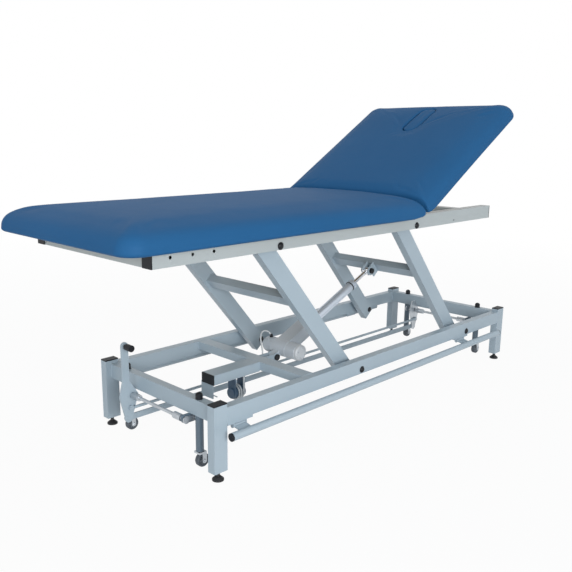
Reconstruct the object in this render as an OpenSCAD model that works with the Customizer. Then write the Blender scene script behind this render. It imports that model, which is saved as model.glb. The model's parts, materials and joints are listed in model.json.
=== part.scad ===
// Electric massage table with two upholstered sections on a parallelogram lift.
// Drawn with x = 0 and y = 0 at the middle of the base and z = 0 on the floor.
// +X is the head end and -Y the near side; at_origin() then centres the whole table over the origin.

/* [Base frame] */
// Length of the base over its corner posts
base_l = 1720; // [1640:10:1840]
// Width of the base over its corner posts
base_w = 600; // [580:10:660]
// Height of the base rails' top above the floor
base_top = 225; // [215:5:245]
// Height of the base rails
rail_h = 50; // [40:1:60]
// Width of the base rails
rail_w = 30; // [30:1:40]
// Length of a corner post along the base
post_l = 50; // [45:1:60]
// Wall of every steel tube
wall = 2; // [1.5:0.1:3]
// Rise of the corner posts above the rails
post_rise = 11; // [8:1:20]
// Height of a levelling foot
foot_h = 28; // [24:1:40]
// Radius of a levelling foot's pad
foot_r = 18; // [15:1:24]

/* [Lift] */
// Place of the head end's lower pivots along the base
head_pivot_x = 537; // [500:1:560]
// Distance between the two pairs of arms
pivot_span = 715; // [690:1:740]
// Height of the lower pivots above the base rails' underside
base_pivot_rise = 15; // [12:1:25]
// Length of the arms between their pivots
arm_l = 640; // [620:1:660]
// Angle of the arms above the floor at rest, in degrees
arm_rest = 49.2; // [46:0.1:52]
// Width of an arm's tube
arm_w = 60; // [52:1:64]
// Thickness of an arm's tube
arm_t = 30; // [26:1:34]
// Distance from an arm's middle line to its pivots' line
arm_offset = 14; // [10:1:18]
// Place of a crossbar along its arms, from the lower pivots
crossbar_at = 380; // [360:1:400]
// Width of a crossbar along its arms
crossbar_w = 40; // [34:1:44]
// Radius of the pivot bolts
bolt_r = 6; // [5:0.5:7]
// Radius of the black caps on the pivot bolts
bolt_cap_r = 12; // [10:0.5:14]

/* [Upper frame] */
// Width of the upper side rails
upper_w = 40; // [36:1:44]
// Height of the upper rails
upper_h = 50; // [44:1:54]
// Height of the upper pivots above the upper rails' underside
upper_pivot_rise = 12; // [11:1:16]
// Reach of the upper rails towards the foot end
upper_foot_reach = 1060; // [1000:5:1090]
// Reach of the upper rails towards the head end
upper_head_reach = 652; // [620:1:700]
// Radius of the accessory holes
accessory_r = 5; // [4:0.5:6]
// Distance between the accessory holes
accessory_pitch = 73.5; // [60:0.5:80]

/* [Cushions] */
// Width of both cushions
cushion_w = 720; // [660:5:740]
// Height of a cushion from its hanging edge to its crown
cushion_h = 82; // [72:1:88]
// Overhang of a cushion's edge below the frame's top
cushion_tuck = 6.5; // [4:0.5:8]
// Length of the seat cushion
seat_l = 1265; // [1200:5:1290]
// Length of the head cushion
head_l = 720; // [700:5:800]
// Radius of the cushions' outer corners
corner_r = 60; // [45:1:80]
// Gap between the two cushions where they meet
seam_gap = 6; // [5:0.5:10]
// Thickness of the boards under the cushions
board_t = 15; // [12:1:18]
// Distance from a cushion's edge to its board
board_inset = 30; // [26:1:36]
// Tilt of the head section at rest, in degrees
head_tilt = 31; // [0:1:60]
// Length of the face slot along the head section
slot_l = 205; // [180:1:230]
// Width of the face slot
slot_w = 72; // [60:1:90]
// Distance from the head section's tip to the middle of the face slot
slot_at = 163; // [155:1:185]

/* [Actuator] */
// Radius of the actuator's outer tube
act_tube_r = 17.5; // [16:0.5:20]
// Radius of the actuator's rod
act_rod_r = 8; // [7:0.5:9]
// Radius of the motor
motor_r = 30; // [27:1:33]
// Length of the motor across the table
motor_l = 190; // [180:1:210]
// Reach of the rear clevis from the cross-beam
rear_reach = 85; // [80:1:90]
// Radius of the eyes' pins
eye_pin_r = 6; // [5:0.5:7]
// Length of rod that shows at rest, to the middle of the front eye
rod_show = 106; // [95:1:115]

/* [Castor lift] */
// Radius of a castor wheel
wheel_r = 22; // [20:0.5:23]
// Width of a castor wheel
wheel_w = 18; // [14:0.5:20]
// Height of the raised wheels above the floor
wheel_lift = 4; // [3:0.5:8]
// Distance of a castor from the table's middle plane
castor_y = 190; // [180:1:200]
// Outer radius of a castor guide
guide_r = 12.5; // [11.5:0.5:12.5]
// Radius of a castor stem
stem_r = 8; // [7:0.5:9]
// Radius of the two cross shafts
shaft_r = 5.5; // [5:0.5:6]
// Distance from a cross shaft to the castor stems
crank_l = 33; // [31:0.5:35]
// Height of the cross shafts
shaft_z = 160; // [155:1:162]
// Height of the foot lever above its shaft
lever_h = 184; // [160:1:200]

/* [Foot bars] */
// Radius of the foot bars
bar_r = 12.5; // [10:0.5:14]
// Height of the foot bars
bar_z = 148; // [145:1:150]
// Length of the foot bars
bar_l = 1573; // [1500:1:1600]

/* [Hidden] */

// Smoothness of round pieces and of the soft forms
$fn = 48;
// Clearance of a running fit, of pieces that stand beside each other, and the overrun of a cut
fit = 0.05;
gap = 0.3;
cut = 1;

// Colours of the pieces
paint = "lightsteelblue";
paint_shade = "lightslategray";
black = "dimgray";
vinyl = "steelblue";
timber = "burlywood";
shiny = "silver";
pale = "gainsboro";

// Heights and places on the base
base_half = base_l / 2;
base_side = base_w / 2;
rail_under = base_top - rail_h;
post_top = base_top + post_rise;
cap_t = 4;
end_rail_in = 20;
end_rail_x = base_half - end_rail_in - rail_w / 2;
lower_pivot_z = rail_under + base_pivot_rise;
foot_pivot_x = head_pivot_x - pivot_span;

// Arms: outer and inner faces, and the overrun of their tubes past the pivots
arm_in = 60;
arm_outer_y = base_side - arm_in;
arm_inner_y = arm_outer_y - arm_t;
arm_end = 16;
bush_r = 13;
crossbar_t = 30;

// Upper pivots and the upper frame's heights
upper_pivot_z = lower_pivot_z + arm_l * sin(arm_rest);
head_top_x = head_pivot_x - arm_l * cos(arm_rest);
foot_top_x = head_top_x - pivot_span;
upper_under = upper_pivot_z - upper_pivot_rise;
upper_top = upper_under + upper_h;
upper_inner_y = base_side - upper_w;

// Hinge between the two sections
hinge_x = 98;
hinge_rise = 25.5;
hinge_z = upper_top + hinge_rise;
head_raise = 4;
seat_end = hinge_x - seam_gap / 2;
head_end = hinge_x + seam_gap / 2;
seat_tip = seat_end - seat_l;
mid_x = (seat_tip + base_half) / 2;

// Cushion section from its hanging edge over its side to near its crown:
// distance in from the edge as a share of the half width, height as a share of the cushion's height
section_shares = [[0.069, 0.01], [0.029, 0.01], [0.006, 0.09], [0, 0.21], [0.009, 0.39], [0.034, 0.57],
                  [0.086, 0.72], [0.17, 0.83], [0.31, 0.92], [0.54, 0.98]];
// Past this inset the rounded end at the hinge falls back by the second value's share of it
end_roll = 14;
end_roll_share = 0.16;
// Draw-in of a cushion's long sides at mid length
side_draw = 3;
// Least height of a cushion's wrap over the board at the hinge end
end_wrap = 3;

// Actuator: pivots, length and angle
beam_x = -430;
beam_w = 50;
beam_t = 30;
rear_drop = 25;
rear_pivot = [beam_x + beam_w / 2 + rear_reach, base_top - rear_drop];
eye_along = 396;
eye_off = 61;
front_pivot = [head_pivot_x - eye_along * cos(arm_rest) - eye_off * sin(arm_rest),
               lower_pivot_z + eye_along * sin(arm_rest) - eye_off * cos(arm_rest)];
act_angle = atan2(front_pivot[1] - rear_pivot[1], front_pivot[0] - rear_pivot[0]);
act_l = norm(front_pivot - rear_pivot);
motor_at = 54;
gear_half = 34;
gear_l = 235;
eye_half = 12;
ear_t = 5;

// Stub beam with the control unit hung below it
stub_y = -38;
stub_w = 60;
stub_t = 34;
stub_tip = -662;
stub_end = beam_x - beam_w / 2;
stub_under = base_top - stub_t;
unit_r = 20;
unit_l = 50;
unit_x = -562;
unit_z = 130;
lead_r = 3;
lead_loops = 2;
lead_pitch = 10;
lead_in = 12;
loop_room = 1;
loop_r = unit_r + lead_r + loop_room;

// Castor lift
stem_x = end_rail_x;
foot_shaft_x = -stem_x - crank_l;
head_shaft_x = stem_x - crank_l;
crank_t = 5;
crank_room = 9;
crank_y = castor_y - guide_r - crank_room;
pin_r = 4;
link_pin_r = 5;
lever_y = 120;
lever_t = 6;
lever_set = 22;
lever_w = 26;
crank_set = 15;
crank_drop = 79;
rod_set = 8;
rod_drop = 42;
wheel_z = wheel_r + wheel_lift;
wheel_room = 2;
yoke_z = wheel_z + wheel_r + wheel_room;
yoke_t = 6;
trail = 8;
axle_r = 3;
spigot_r = 5;
stem_sink = 20;
stem_top = base_top - stem_sink;
crank_slack = 0.6;
lever_turn = 20;
guide_reach = 102;

// Foot bars and their hangers
bar_out = 35;
bar_y = base_side + bar_out;
bar_x0 = -823;
hanger_w = 45;
hanger_t = 5;
hanger_in = 65;
hanger_pitch = 1258;
hanger_xs = [bar_x0 + hanger_in, bar_x0 + hanger_in + hanger_pitch];
bar_pin_in = 8;
bar_pin_y = base_side - bar_pin_in;
mount_t = 8;
mount_half = 50;
knuckle_r = 7;
knuckle_room = 2;
bar_pin_z = rail_under - mount_t - knuckle_r - knuckle_room;

// Gas spring between the upper frame and the head section: both pins lie as far from the hinge,
// so the spring turns by half the head section's angle
gas_run = 131;
gas_drop = 50;
gas_low = 105;
gas_arm = norm([gas_run, gas_drop]);
gas_high = head_tilt - atan2(gas_drop, gas_run);
gas_angle = 90 + (gas_high - gas_low) / 2;
gas_l = 2 * gas_arm * sin((gas_high + gas_low) / 2);
gas_pin = [hinge_x + gas_arm * cos(gas_low), hinge_z - gas_arm * sin(gas_low)];
gas_cyl_r = 11;
gas_bore_r = 8;
gas_rod_r = 4;
gas_cyl_l = 160;
gas_rod_l = 145;
gas_eye_r = 9;
gas_neck = 36;
gas_rail_set = 70;
gas_rail_x = hinge_x - gas_rail_set;

module at_origin() translate([-mid_x, 0, 0]) children();
module both_sides() { children(); mirror([0, 1, 0]) children(); }
module both_ends() { children(); mirror([1, 0, 0]) children(); }

// Round bar along Y between two values of y
module round_y(x, z, y0, y1, r) translate([x, y0, z]) rotate([-90, 0, 0]) cylinder(r = r, h = y1 - y0);
// Round bar along X between two values of x
module round_x(y, z, x0, x1, r) translate([x0, y, z]) rotate([0, 90, 0]) cylinder(r = r, h = x1 - x0);
// Upright round bar between two heights
module round_z(x, y, z0, z1, r) translate([x, y, z0]) cylinder(r = r, h = z1 - z0);
// Block between two corners
module block(a, b) translate(a) cube(b - a);

// Rectangular tube from corner a to corner b, open along axis 0, 1 or 2
module tube(a, b, axis) {
    w = [for (i = [0:2]) i == axis ? -cut : wall];
    difference() {
        block(a, b);
        block(a + w, b - w);
    }
}

// Frames of the moving parts at rest
module arm_frame(x) translate([x, 0, lower_pivot_z]) rotate([0, 180 + arm_rest, 0]) children();
module head_frame() translate([hinge_x, 0, hinge_z]) rotate([0, -head_tilt, 0])
    translate([-hinge_x, 0, -hinge_z]) children();
module act_frame() translate([rear_pivot[0], 0, rear_pivot[1]]) rotate([0, -act_angle, 0]) children();

// Base frame

module base_rails() at_origin() color(paint) {
    both_sides() {
        difference() {
            tube([-base_half + post_l, base_side - rail_w, rail_under],
                 [base_half - post_l, base_side, base_top], 0);
            for (x = [foot_pivot_x, head_pivot_x])
                round_y(x, lower_pivot_z, base_side - rail_w - cut, base_side + cut, bolt_r + fit);
        }
    }
    both_ends() difference() {
        tube([end_rail_x - rail_w / 2, -base_side + rail_w, rail_under],
             [end_rail_x + rail_w / 2, base_side - rail_w, base_top], 1);
        both_sides() round_z(stem_x, castor_y, rail_under - cut, base_top + cut, guide_r + fit);
    }
}

module corner_posts() at_origin() color(paint) both_ends() both_sides()
    tube([base_half - post_l, base_side - rail_w, foot_h], [base_half, base_side, post_top], 2);

module base_caps() at_origin() color(black) {
    plug_h = 10;
    both_ends() both_sides() {
        block([base_half - post_l, base_side - rail_w, post_top], [base_half, base_side, post_top + cap_t]);
        block([base_half - post_l + wall + fit, base_side - rail_w + wall + fit, post_top - plug_h],
              [base_half - wall - fit, base_side - wall - fit, post_top]);
    }
    both_ends() both_sides() guide_cap();
    block([stub_tip - cap_t, stub_y - stub_w / 2, stub_under], [stub_tip, stub_y + stub_w / 2, base_top]);
}

// Domed cap that closes a castor guide on top of the end rail
module guide_cap() {
    dome_r = 11;
    dome_h = 20;
    round_z(stem_x, castor_y, base_top, base_top + dome_h - dome_r / 2, dome_r);
    translate([stem_x, castor_y, base_top + dome_h - dome_r / 2]) intersection() {
        translate([0, 0, -dome_r * 0.5]) sphere(r = dome_r * 1.1);
        cylinder(r = dome_r, h = dome_r);
    }
}

module levelling_feet() at_origin() color(black) both_ends() both_sides() {
    pad_h = 12;
    stem_in = 20;
    x = base_half - post_l / 2;
    y = base_side - rail_w / 2;
    round_z(x, y, 0, pad_h * 0.4, foot_r);
    translate([x, y, pad_h * 0.4]) cylinder(r1 = foot_r, r2 = foot_r * 0.55, h = pad_h * 0.6);
    round_z(x, y, pad_h, foot_h, foot_r * 0.33);
    block([x - post_l / 2 + wall + fit, y - rail_w / 2 + wall + fit, foot_h],
          [x + post_l / 2 - wall - fit, y + rail_w / 2 - wall - fit, foot_h + stem_in]);
}

module base_cross_beam() at_origin() color(paint) {
    tube([beam_x - beam_w / 2, -base_side + rail_w, base_top - beam_t],
         [beam_x + beam_w / 2, base_side - rail_w, base_top], 1);
    tube([stub_tip, stub_y - stub_w / 2, stub_under], [stub_end, stub_y + stub_w / 2, base_top], 0);
    rear_clevis();
    stub_bracket();
}

// Two ears that carry the actuator's rear pin
module rear_clevis() both_sides() difference() {
    ear_h = 40;
    ear_y = eye_half + gap;
    union() {
        block([beam_x + beam_w / 2, ear_y, base_top - beam_t],
              [rear_pivot[0], ear_y + ear_t, rear_pivot[1] + ear_h / 2 - beam_t / 4]);
        round_y(rear_pivot[0], rear_pivot[1], ear_y, ear_y + ear_t, ear_h * 0.4);
    }
    round_y(rear_pivot[0], rear_pivot[1], ear_y - cut, ear_y + ear_t + cut, eye_pin_r + fit);
}

// Upright plate with a hook under the stub beam's tip
module stub_bracket() {
    plate_t = 4;
    plate_h = 52;
    near_reach = 16;
    far_reach = 42;
    near = stub_y - near_reach;
    far = stub_y + far_reach;
    hook_l = 20;
    x = stub_tip + plate_t;
    block([x, near, stub_under - plate_h], [x + plate_t, far, stub_under]);
    round_y(x + plate_t / 2, stub_under - plate_h * 0.75, near - hook_l, near, plate_t / 2);
}

module pivot_bolt(x, z, y_in, y_out) {
    cap_h = 7;
    round_y(x, z, y_in - gap, y_out, bolt_r);
    round_y(x, z, y_out, y_out + cap_h, bolt_cap_r);
    round_y(x, z, y_in - gap - cap_h, y_in - gap, bolt_cap_r);
}

module lower_pivot_bolts() at_origin() color(black) both_sides()
    for (x = [foot_pivot_x, head_pivot_x]) pivot_bolt(x, lower_pivot_z, arm_inner_y, base_side);

module rear_clevis_pin() at_origin() color(black) {
    head_h = 6;
    y = eye_half + gap + ear_t;
    round_y(rear_pivot[0], rear_pivot[1], -y, y, eye_pin_r);
    both_sides() round_y(rear_pivot[0], rear_pivot[1], y, y + head_h, eye_pin_r * 1.9);
}

// Castor guides, shaft bearings and the foot bars' pivots

module castor_guides() at_origin() color(paint) both_ends() both_sides() castor_guide();

// Upright sleeve with a slot in its inner side for the stem's pin, on both faces of the crank's swing
module castor_guide() difference() {
    under = shaft_z - guide_reach;
    slot_up = pin_r + cut;
    slot_down = crank_l * tan(lever_turn) + pin_r + cut * 2;
    round_z(stem_x, castor_y, under, base_top - fit, guide_r);
    round_z(stem_x, castor_y, under - cut, base_top - wall, stem_r + fit);
    block([stem_x - pin_r - gap, castor_y - guide_r - cut, shaft_z - slot_down],
          [stem_x + pin_r + gap, castor_y, shaft_z + slot_up]);
}

// Plates under the end rails that carry the cross shafts
module shaft_bearings() at_origin() color(paint_shade) {
    both_sides() for (e = [-1, 1]) shaft_bearing(e * end_rail_x, e < 0 ? foot_shaft_x : head_shaft_x);
}

module shaft_bearing(rail_x, x) difference() {
    plate_t = 6;
    y = crank_y - crank_t - plate_t - gap * 2;
    union() {
        block([min(x, rail_x) - bolt_cap_r, y, shaft_z + shaft_r],
              [max(x, rail_x) + (x < 0 ? rail_w / 2 : 0), y + plate_t, rail_under]);
        round_y(x, shaft_z, y, y + plate_t, bolt_cap_r);
    }
    round_y(x, shaft_z, y - cut, y + plate_t + cut, shaft_r + fit);
}

module foot_bar_pivots() at_origin() color(paint_shade) both_sides() for (x = hanger_xs) {
    lug_t = 4;
    half = hanger_w / 2 + gap;
    mount_under = rail_under - mount_t;
    block([x - mount_half, base_side - rail_w, mount_under], [x + mount_half, base_side, rail_under]);
    for (s = [-1, 1]) {
        x0 = x + s * (half + lug_t / 2) - lug_t / 2;
        block([x0, bar_pin_y - knuckle_r, bar_pin_z], [x0 + lug_t, bar_pin_y + knuckle_r, mount_under]);
        round_x(bar_pin_y, bar_pin_z, x0, x0 + lug_t, knuckle_r);
    }
    round_x(bar_pin_y, bar_pin_z, x - half - lug_t, x + half + lug_t, pin_r);
}

// Control unit and leads

module control_unit() at_origin() color(paint_shade) {
    strap_t = 4;
    rim = 3;
    half = unit_r * 0.9;
    round_x(stub_y, unit_z, unit_x, unit_x + unit_l, unit_r);
    round_x(stub_y, unit_z, unit_x - rim, unit_x, unit_r * 0.9);
    for (x = [unit_x + strap_t / 2, unit_x + unit_l - strap_t * 1.5])
        block([x, stub_y - half, unit_z], [x + strap_t, stub_y + half, stub_under]);
}

// Ring of a swept tube round point p, square to direction t
function unit(v) = v / norm(v);
function ring(p, t, ref, r, sides) =
    let (n = unit(cross(t, ref)), b = unit(cross(n, t)))
    [for (k = [0:sides - 1]) p + r * (cos(360 * k / sides) * n + sin(360 * k / sides) * b)];
// Direction of a route at point i
function heading(route, i) = unit(route[min(i + 1, len(route) - 1)] - route[max(i - 1, 0)]);

// Closed tube of flat facets along a route
module swept_tube(route, r, sides, ref) {
    n = len(route);
    points = [for (i = [0:n - 1]) each ring(route[i], heading(route, i), ref, r, sides)];
    walls = [for (i = [0:n - 2], k = [0:sides - 1]) let (a = i * sides + k, b = i * sides + (k + 1) % sides)
             each [[a, b, a + sides], [b, b + sides, a + sides]]];
    start = [for (k = [1:sides - 2]) [0, k + 1, k]];
    end = [for (k = [1:sides - 2]) [(n - 1) * sides, (n - 1) * sides + k, (n - 1) * sides + k + 1]];
    polyhedron(points = points, faces = concat(walls, start, end));
}

// The control lead hangs from the stub beam in loops round the unit: a helix with two upright ends
lead_steps = 24;
lead_x0 = unit_x + lead_in;
lead_turns = [for (i = [0:lead_steps * (lead_loops + 0.5)]) let (a = 360 * i / lead_steps)
              [lead_x0 + lead_pitch * a / 360, stub_y + loop_r * cos(a), unit_z - loop_r * sin(a)]];
lead_last = lead_turns[len(lead_turns) - 1];
lead_high = stub_under - lead_r * 2;
lead_route = concat([[lead_x0, stub_y + loop_r, stub_under], [lead_x0, stub_y + loop_r, lead_high]],
                    lead_turns,
                    [[lead_last[0], lead_last[1], lead_high], [lead_last[0], lead_last[1], stub_under]]);
// Least gap of the lead to itself, measured a turn apart on its points
lead_points = len(lead_turns);
lead_gap = min([for (i = [0:lead_points - 1 - lead_steps], j = [-3:3])
                norm(lead_turns[i] - lead_turns[min(i + lead_steps + j, lead_points - 1)])]) - 2 * lead_r;
echo(lead_gap = lead_gap);

module control_lead() at_origin() color(pale) swept_tube(lead_route, lead_r, 6, [1, 0, 0]);

// Motor lead in two stretches that meet beside the actuator's rear pin
motor_lead_route = [[-273, 58, 252.6], [-274, 60, 262], [-279, 67, 271], [-289, 73, 276], [-301, 75, 275],
                    [-312, 72, 269], [-321, 66, 260], [-328, 58, 250], [-334, 50, 240], [-338, 43, 230],
                    [-341, 37, 221], [-344, 32, 214], [-345, 31, 210], [-345, 31, 206]];
beam_lead_route = [[-345, 31, 203], [-345, 31, 198], [-347, 31, 192], [-351, 31, 188], [-357, 31, 185],
                   [-364, 31, 184], [-371, 31, 186], [-377, 31, 190], [-383, 31, 196], [-389, 31, 202],
                   [-396, 31, 206], [-400, 31, 207], [-405, 31, 207]];

module motor_lead() at_origin() color(pale) swept_tube(motor_lead_route, lead_r, 8, [1, 1, 0.2]);
module beam_lead() at_origin() color(pale) swept_tube(beam_lead_route, lead_r, 8, [0, 1, 0]);

// Lift arms and crossbars

module arms(x) arm_frame(x) both_sides() difference() {
    union() {
        difference() {
            block([-arm_end, arm_inner_y, arm_offset - arm_w / 2],
                  [arm_l + arm_end, arm_outer_y, arm_offset + arm_w / 2]);
            block([-arm_end - cut, arm_inner_y + wall, arm_offset - arm_w / 2 + wall],
                  [arm_l + arm_end + cut, arm_outer_y - wall, arm_offset + arm_w / 2 - wall]);
        }
        round_y(0, 0, arm_inner_y, base_side - rail_w - gap, bush_r);
        round_y(arm_l, 0, arm_inner_y, upper_inner_y - gap, bush_r);
    }
    for (s = [0, arm_l]) round_y(s, 0, arm_inner_y - cut, base_side, bolt_r + fit);
}

module crossbar(x) arm_frame(x)
    tube([crossbar_at - crossbar_w / 2, -arm_inner_y, arm_offset - crossbar_t / 2],
         [crossbar_at + crossbar_w / 2, arm_inner_y, arm_offset + crossbar_t / 2], 1);

module foot_arms() at_origin() color(paint) arms(foot_pivot_x);
module foot_crossbar() at_origin() color(paint) crossbar(foot_pivot_x);
module head_arms() at_origin() color(paint) arms(head_pivot_x);
module head_crossbar() at_origin() color(paint) {
    crossbar(head_pivot_x);
    arm_frame(head_pivot_x) both_sides() front_ear();
}

// Ear on the head crossbar beside the actuator's front eye
module front_ear() difference() {
    y = eye_half + gap;
    ear_r = 19;
    union() {
        block([crossbar_at - crossbar_w / 2, y, arm_offset + crossbar_t / 2],
              [eye_along + ear_r, y + ear_t, eye_off]);
        round_y(eye_along, eye_off, y, y + ear_t, ear_r);
    }
    round_y(eye_along, eye_off, y - cut, y + ear_t + cut, eye_pin_r + fit);
}

// Short shoulder bolts that hold the front eye between the ears
module front_eye_bolts() at_origin() color(black) arm_frame(head_pivot_x) both_sides() {
    y = eye_half + gap;
    head_h = 8;
    round_y(eye_along, eye_off, y, y + ear_t, eye_pin_r);
    round_y(eye_along, eye_off, y + ear_t, y + ear_t + head_h, eye_pin_r * 1.9);
}

// Upper frame

module upper_side_rails() at_origin() color(paint) both_sides() difference() {
    service_x = 375;
    service_rise = 11;
    service_r = 3.5;
    hole_rise = 25;
    hole_in = 60;
    tube([-upper_foot_reach + cap_t, upper_inner_y, upper_under],
         [upper_head_reach, base_side, upper_top], 0);
    for (x = [foot_top_x, head_top_x])
        round_y(x, upper_pivot_z, upper_inner_y - cut, base_side + cut, bolt_r + fit);
    for (i = [0:2])
        round_y(-upper_foot_reach + hole_in + i * accessory_pitch, upper_under + hole_rise,
                base_side - wall - cut, base_side + cut, accessory_r);
    round_y(service_x, upper_under + service_rise, base_side - wall - cut, base_side + cut, service_r);
}

mid_rail_x = -239;
head_rail_x = 440;
cross_rail_xs = [-upper_foot_reach + cap_t, mid_rail_x, gas_rail_x, head_rail_x];
module upper_cross_rails() at_origin() color(paint) {
    for (x = cross_rail_xs)
        tube([x, -upper_inner_y, upper_under], [x + upper_w, upper_inner_y, upper_top], 1);
    gas_anchor();
}

// Two ears under the cross rail beside the hinge that hold the gas spring's lower pin
module gas_anchor() {
    ear_y = gas_eye_r / 2 + gap;
    x = gas_pin[0];
    z = gas_pin[1];
    both_sides() difference() {
        union() {
            block([x - gas_eye_r, ear_y, z], [x + gas_eye_r, ear_y + ear_t, upper_under]);
            round_y(x, z, ear_y, ear_y + ear_t, gas_eye_r);
        }
        round_y(x, z, ear_y - cut, ear_y + ear_t + cut, pin_r + fit);
    }
    round_y(x, z, -ear_y - ear_t, ear_y + ear_t, pin_r);
}

module rail_end_caps() at_origin() color(black) both_sides() {
    for (x = [-upper_foot_reach, upper_head_reach])
        block([x, upper_inner_y, upper_under], [x + cap_t, base_side, upper_top]);
}

module upper_pivot_bolts() at_origin() color(black) both_sides()
    for (x = [foot_top_x, head_top_x]) pivot_bolt(x, upper_pivot_z, arm_inner_y, base_side);

// Buffers on the head end's cross rail, on which the lowered head section rests
module rest_buffers() at_origin() color(black) both_sides() {
    buffer_in = 60;
    high = upper_top + head_raise - gap;
    round_z(head_rail_x + upper_w / 2, arm_inner_y - buffer_in, upper_top, high, bush_r);
}

// Hinge between the sections: plates on the side rails and plates under the head board, on common pins
foot_plate_t = 6;
plate_y = upper_inner_y - foot_plate_t;
hinge_plate_t = 5;
hinge_plate_r = 10;
hinge_pin_r = 5;

module frame_hinge_brackets() at_origin() color(paint_shade) both_sides() {
    foot_l = 50;
    foot_drop = 22;
    block([hinge_x - foot_l / 2, plate_y, upper_top - foot_drop],
          [hinge_x + foot_l / 2, upper_inner_y, upper_top - wall]);
    block([hinge_x - hinge_plate_r, plate_y, upper_top - wall],
          [hinge_x + hinge_plate_r, upper_inner_y, hinge_z]);
    round_y(hinge_x, hinge_z, plate_y, upper_inner_y, hinge_plate_r);
    round_y(hinge_x, hinge_z, plate_y - gap - hinge_plate_t, plate_y, hinge_pin_r);
}

module head_hinge_brackets() at_origin() color(paint_shade) head_frame() {
    under = upper_top + head_raise;
    leaf_l = 120;
    leaf_h = 24;
    both_sides() difference() {
        union() {
            round_y(hinge_x, hinge_z, plate_y - gap - hinge_plate_t, plate_y - gap, hinge_plate_r);
            block([hinge_x - hinge_plate_r, plate_y - gap - hinge_plate_t, under - leaf_h],
                  [hinge_x + hinge_plate_r, plate_y - gap, hinge_z]);
            block([hinge_x - hinge_plate_r, plate_y - gap - hinge_plate_t, under - leaf_h],
                  [hinge_x + leaf_l, plate_y - gap, under]);
        }
        round_y(hinge_x, hinge_z, plate_y - gap * 2 - hinge_plate_t, plate_y, hinge_pin_r + fit);
    }
    gas_upper_ears(under);
}

// Two ears under the head board that hold the gas spring's upper pin
module gas_upper_ears(under) {
    ear_y = gas_eye_r / 2 + gap;
    x = hinge_x + gas_run;
    z = hinge_z - gas_drop;
    both_sides() difference() {
        union() {
            block([x - gas_eye_r, ear_y, z], [x + gas_eye_r, ear_y + ear_t, under]);
            round_y(x, z, ear_y, ear_y + ear_t, gas_eye_r);
        }
        round_y(x, z, ear_y - cut, ear_y + ear_t + cut, pin_r + fit);
    }
    round_y(x, z, -ear_y - ear_t, ear_y + ear_t, pin_r);
}

// Notches in the cushions' and boards' ends for the hinge plates
module hinge_notches() both_sides() {
    clear = 2;
    block([hinge_x - hinge_plate_r - clear, plate_y - gap - hinge_plate_t - clear, upper_under],
          [hinge_x + hinge_plate_r + clear, upper_inner_y + clear, hinge_z + hinge_plate_r + clear]);
}

// Cushions and boards

// Distance in from the edge at the hinge's end for a row with a given inset
function end_inset(inset) = inset < end_roll ? inset : end_roll + (inset - end_roll) * end_roll_share;
// Points of a quarter round corner, as angles
function corner_points(cx, cy, r, a0, count) =
    [for (k = [0:count - 1]) let (a = a0 + 90 * k / (count - 1)) [cx + r * cos(a), cy + r * sin(a)]];
// Plan outline of a cushion row, from its outer tip at x0 to its hinge end at x1
function row_outline(x0, x1, half, inset) =
    let (r = max(corner_r - inset * 0.8, corner_r * 0.2), h = half - inset, e = end_roll / 2,
         a = x0 + inset, b = x1 - end_inset(inset), draw = max(side_draw - inset * 0.1, 0),
         side = [for (k = [1:4]) [a + r + (b - a - r) * k / 5, h - draw * sin(36 * k)]])
    concat(corner_points(a + r, -h + r, r, 180, 7), [for (p = side) [p[0], -p[1]]],
           corner_points(b - e, -h + e, e, -90, 3), [[b, -h / 2], [b, 0], [b, h / 2]],
           corner_points(b - e, h - e, e, 0, 3), [for (k = [3:-1:0]) side[k]],
           corner_points(a + r, h - r, r, 90, 7), [[a, h / 2], [a, 0], [a, -h / 2]]);

// Row at height z; at the hinge end it stays above the rails
function row_points(x0, x1, half, inset, z, floor_z) =
    [for (p = row_outline(x0, x1, half, inset))
     [p[0], p[1], p[0] > x1 - end_roll * 2 ? max(z, floor_z) : z]];

// Upholstered cushion over a board: recess for the board, hanging edge, side, rounded top and crown
module cushion_form(x0, x1, top) {
    half = cushion_w / 2;
    low = top - cushion_tuck;
    wrap = top + end_wrap;
    rows = concat([row_points(x0, x1, half, board_inset, top + board_t + gap, top),
                   row_points(x0, x1, half, board_inset, wrap, top)],
                  [for (s = section_shares)
                   row_points(x0, x1, half, s[0] * half, low + s[1] * cushion_h, wrap)]);
    n = len(rows[0]);
    m = len(rows);
    mid = (x0 + x1) / 2;
    points = concat([for (r = rows) each r], [[mid, 0, top + board_t + gap], [mid, 0, low + cushion_h]]);
    walls = [for (j = [0:m - 2], k = [0:n - 1]) let (a = j * n + k, b = j * n + (k + 1) % n)
             each [[a, a + n, b], [b, a + n, b + n]]];
    under = [for (k = [0:n - 1]) [m * n, k, (k + 1) % n]];
    over = [for (k = [0:n - 1]) [m * n + 1, (m - 1) * n + (k + 1) % n, (m - 1) * n + k]];
    polyhedron(points = points, faces = concat(walls, under, over));
}

// Board with rounded corners, from its tip at x0 to its hinge end at x1
module board(x0, x1, top) {
    side = cushion_w / 2 - board_inset - gap - side_draw;
    tip_r = corner_r * 0.8;
    translate([0, 0, top]) linear_extrude(board_t) {
        translate([x0 + tip_r, -side]) square([x1 - x0 - tip_r - end_roll, side * 2]);
        translate([x0, -side + tip_r]) square([tip_r, (side - tip_r) * 2]);
        translate([x1 - end_roll, -side + end_roll]) square([end_roll, (side - end_roll) * 2]);
        for (s = [-1, 1]) {
            translate([x0 + tip_r, s * (side - tip_r)]) circle(r = tip_r);
            translate([x1 - end_roll, s * (side - end_roll)]) circle(r = end_roll);
        }
    }
}

// Room for the upper side rails, which a cushion narrower than the frame rests on instead of reaching round
module rail_room() block([-upper_foot_reach - gap, -base_side - gap, upper_under],
                         [upper_head_reach + cap_t + gap, base_side + gap, upper_top]);

board_end_gap = end_inset(board_inset) + gap;
board_tip_gap = board_inset + gap;

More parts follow.
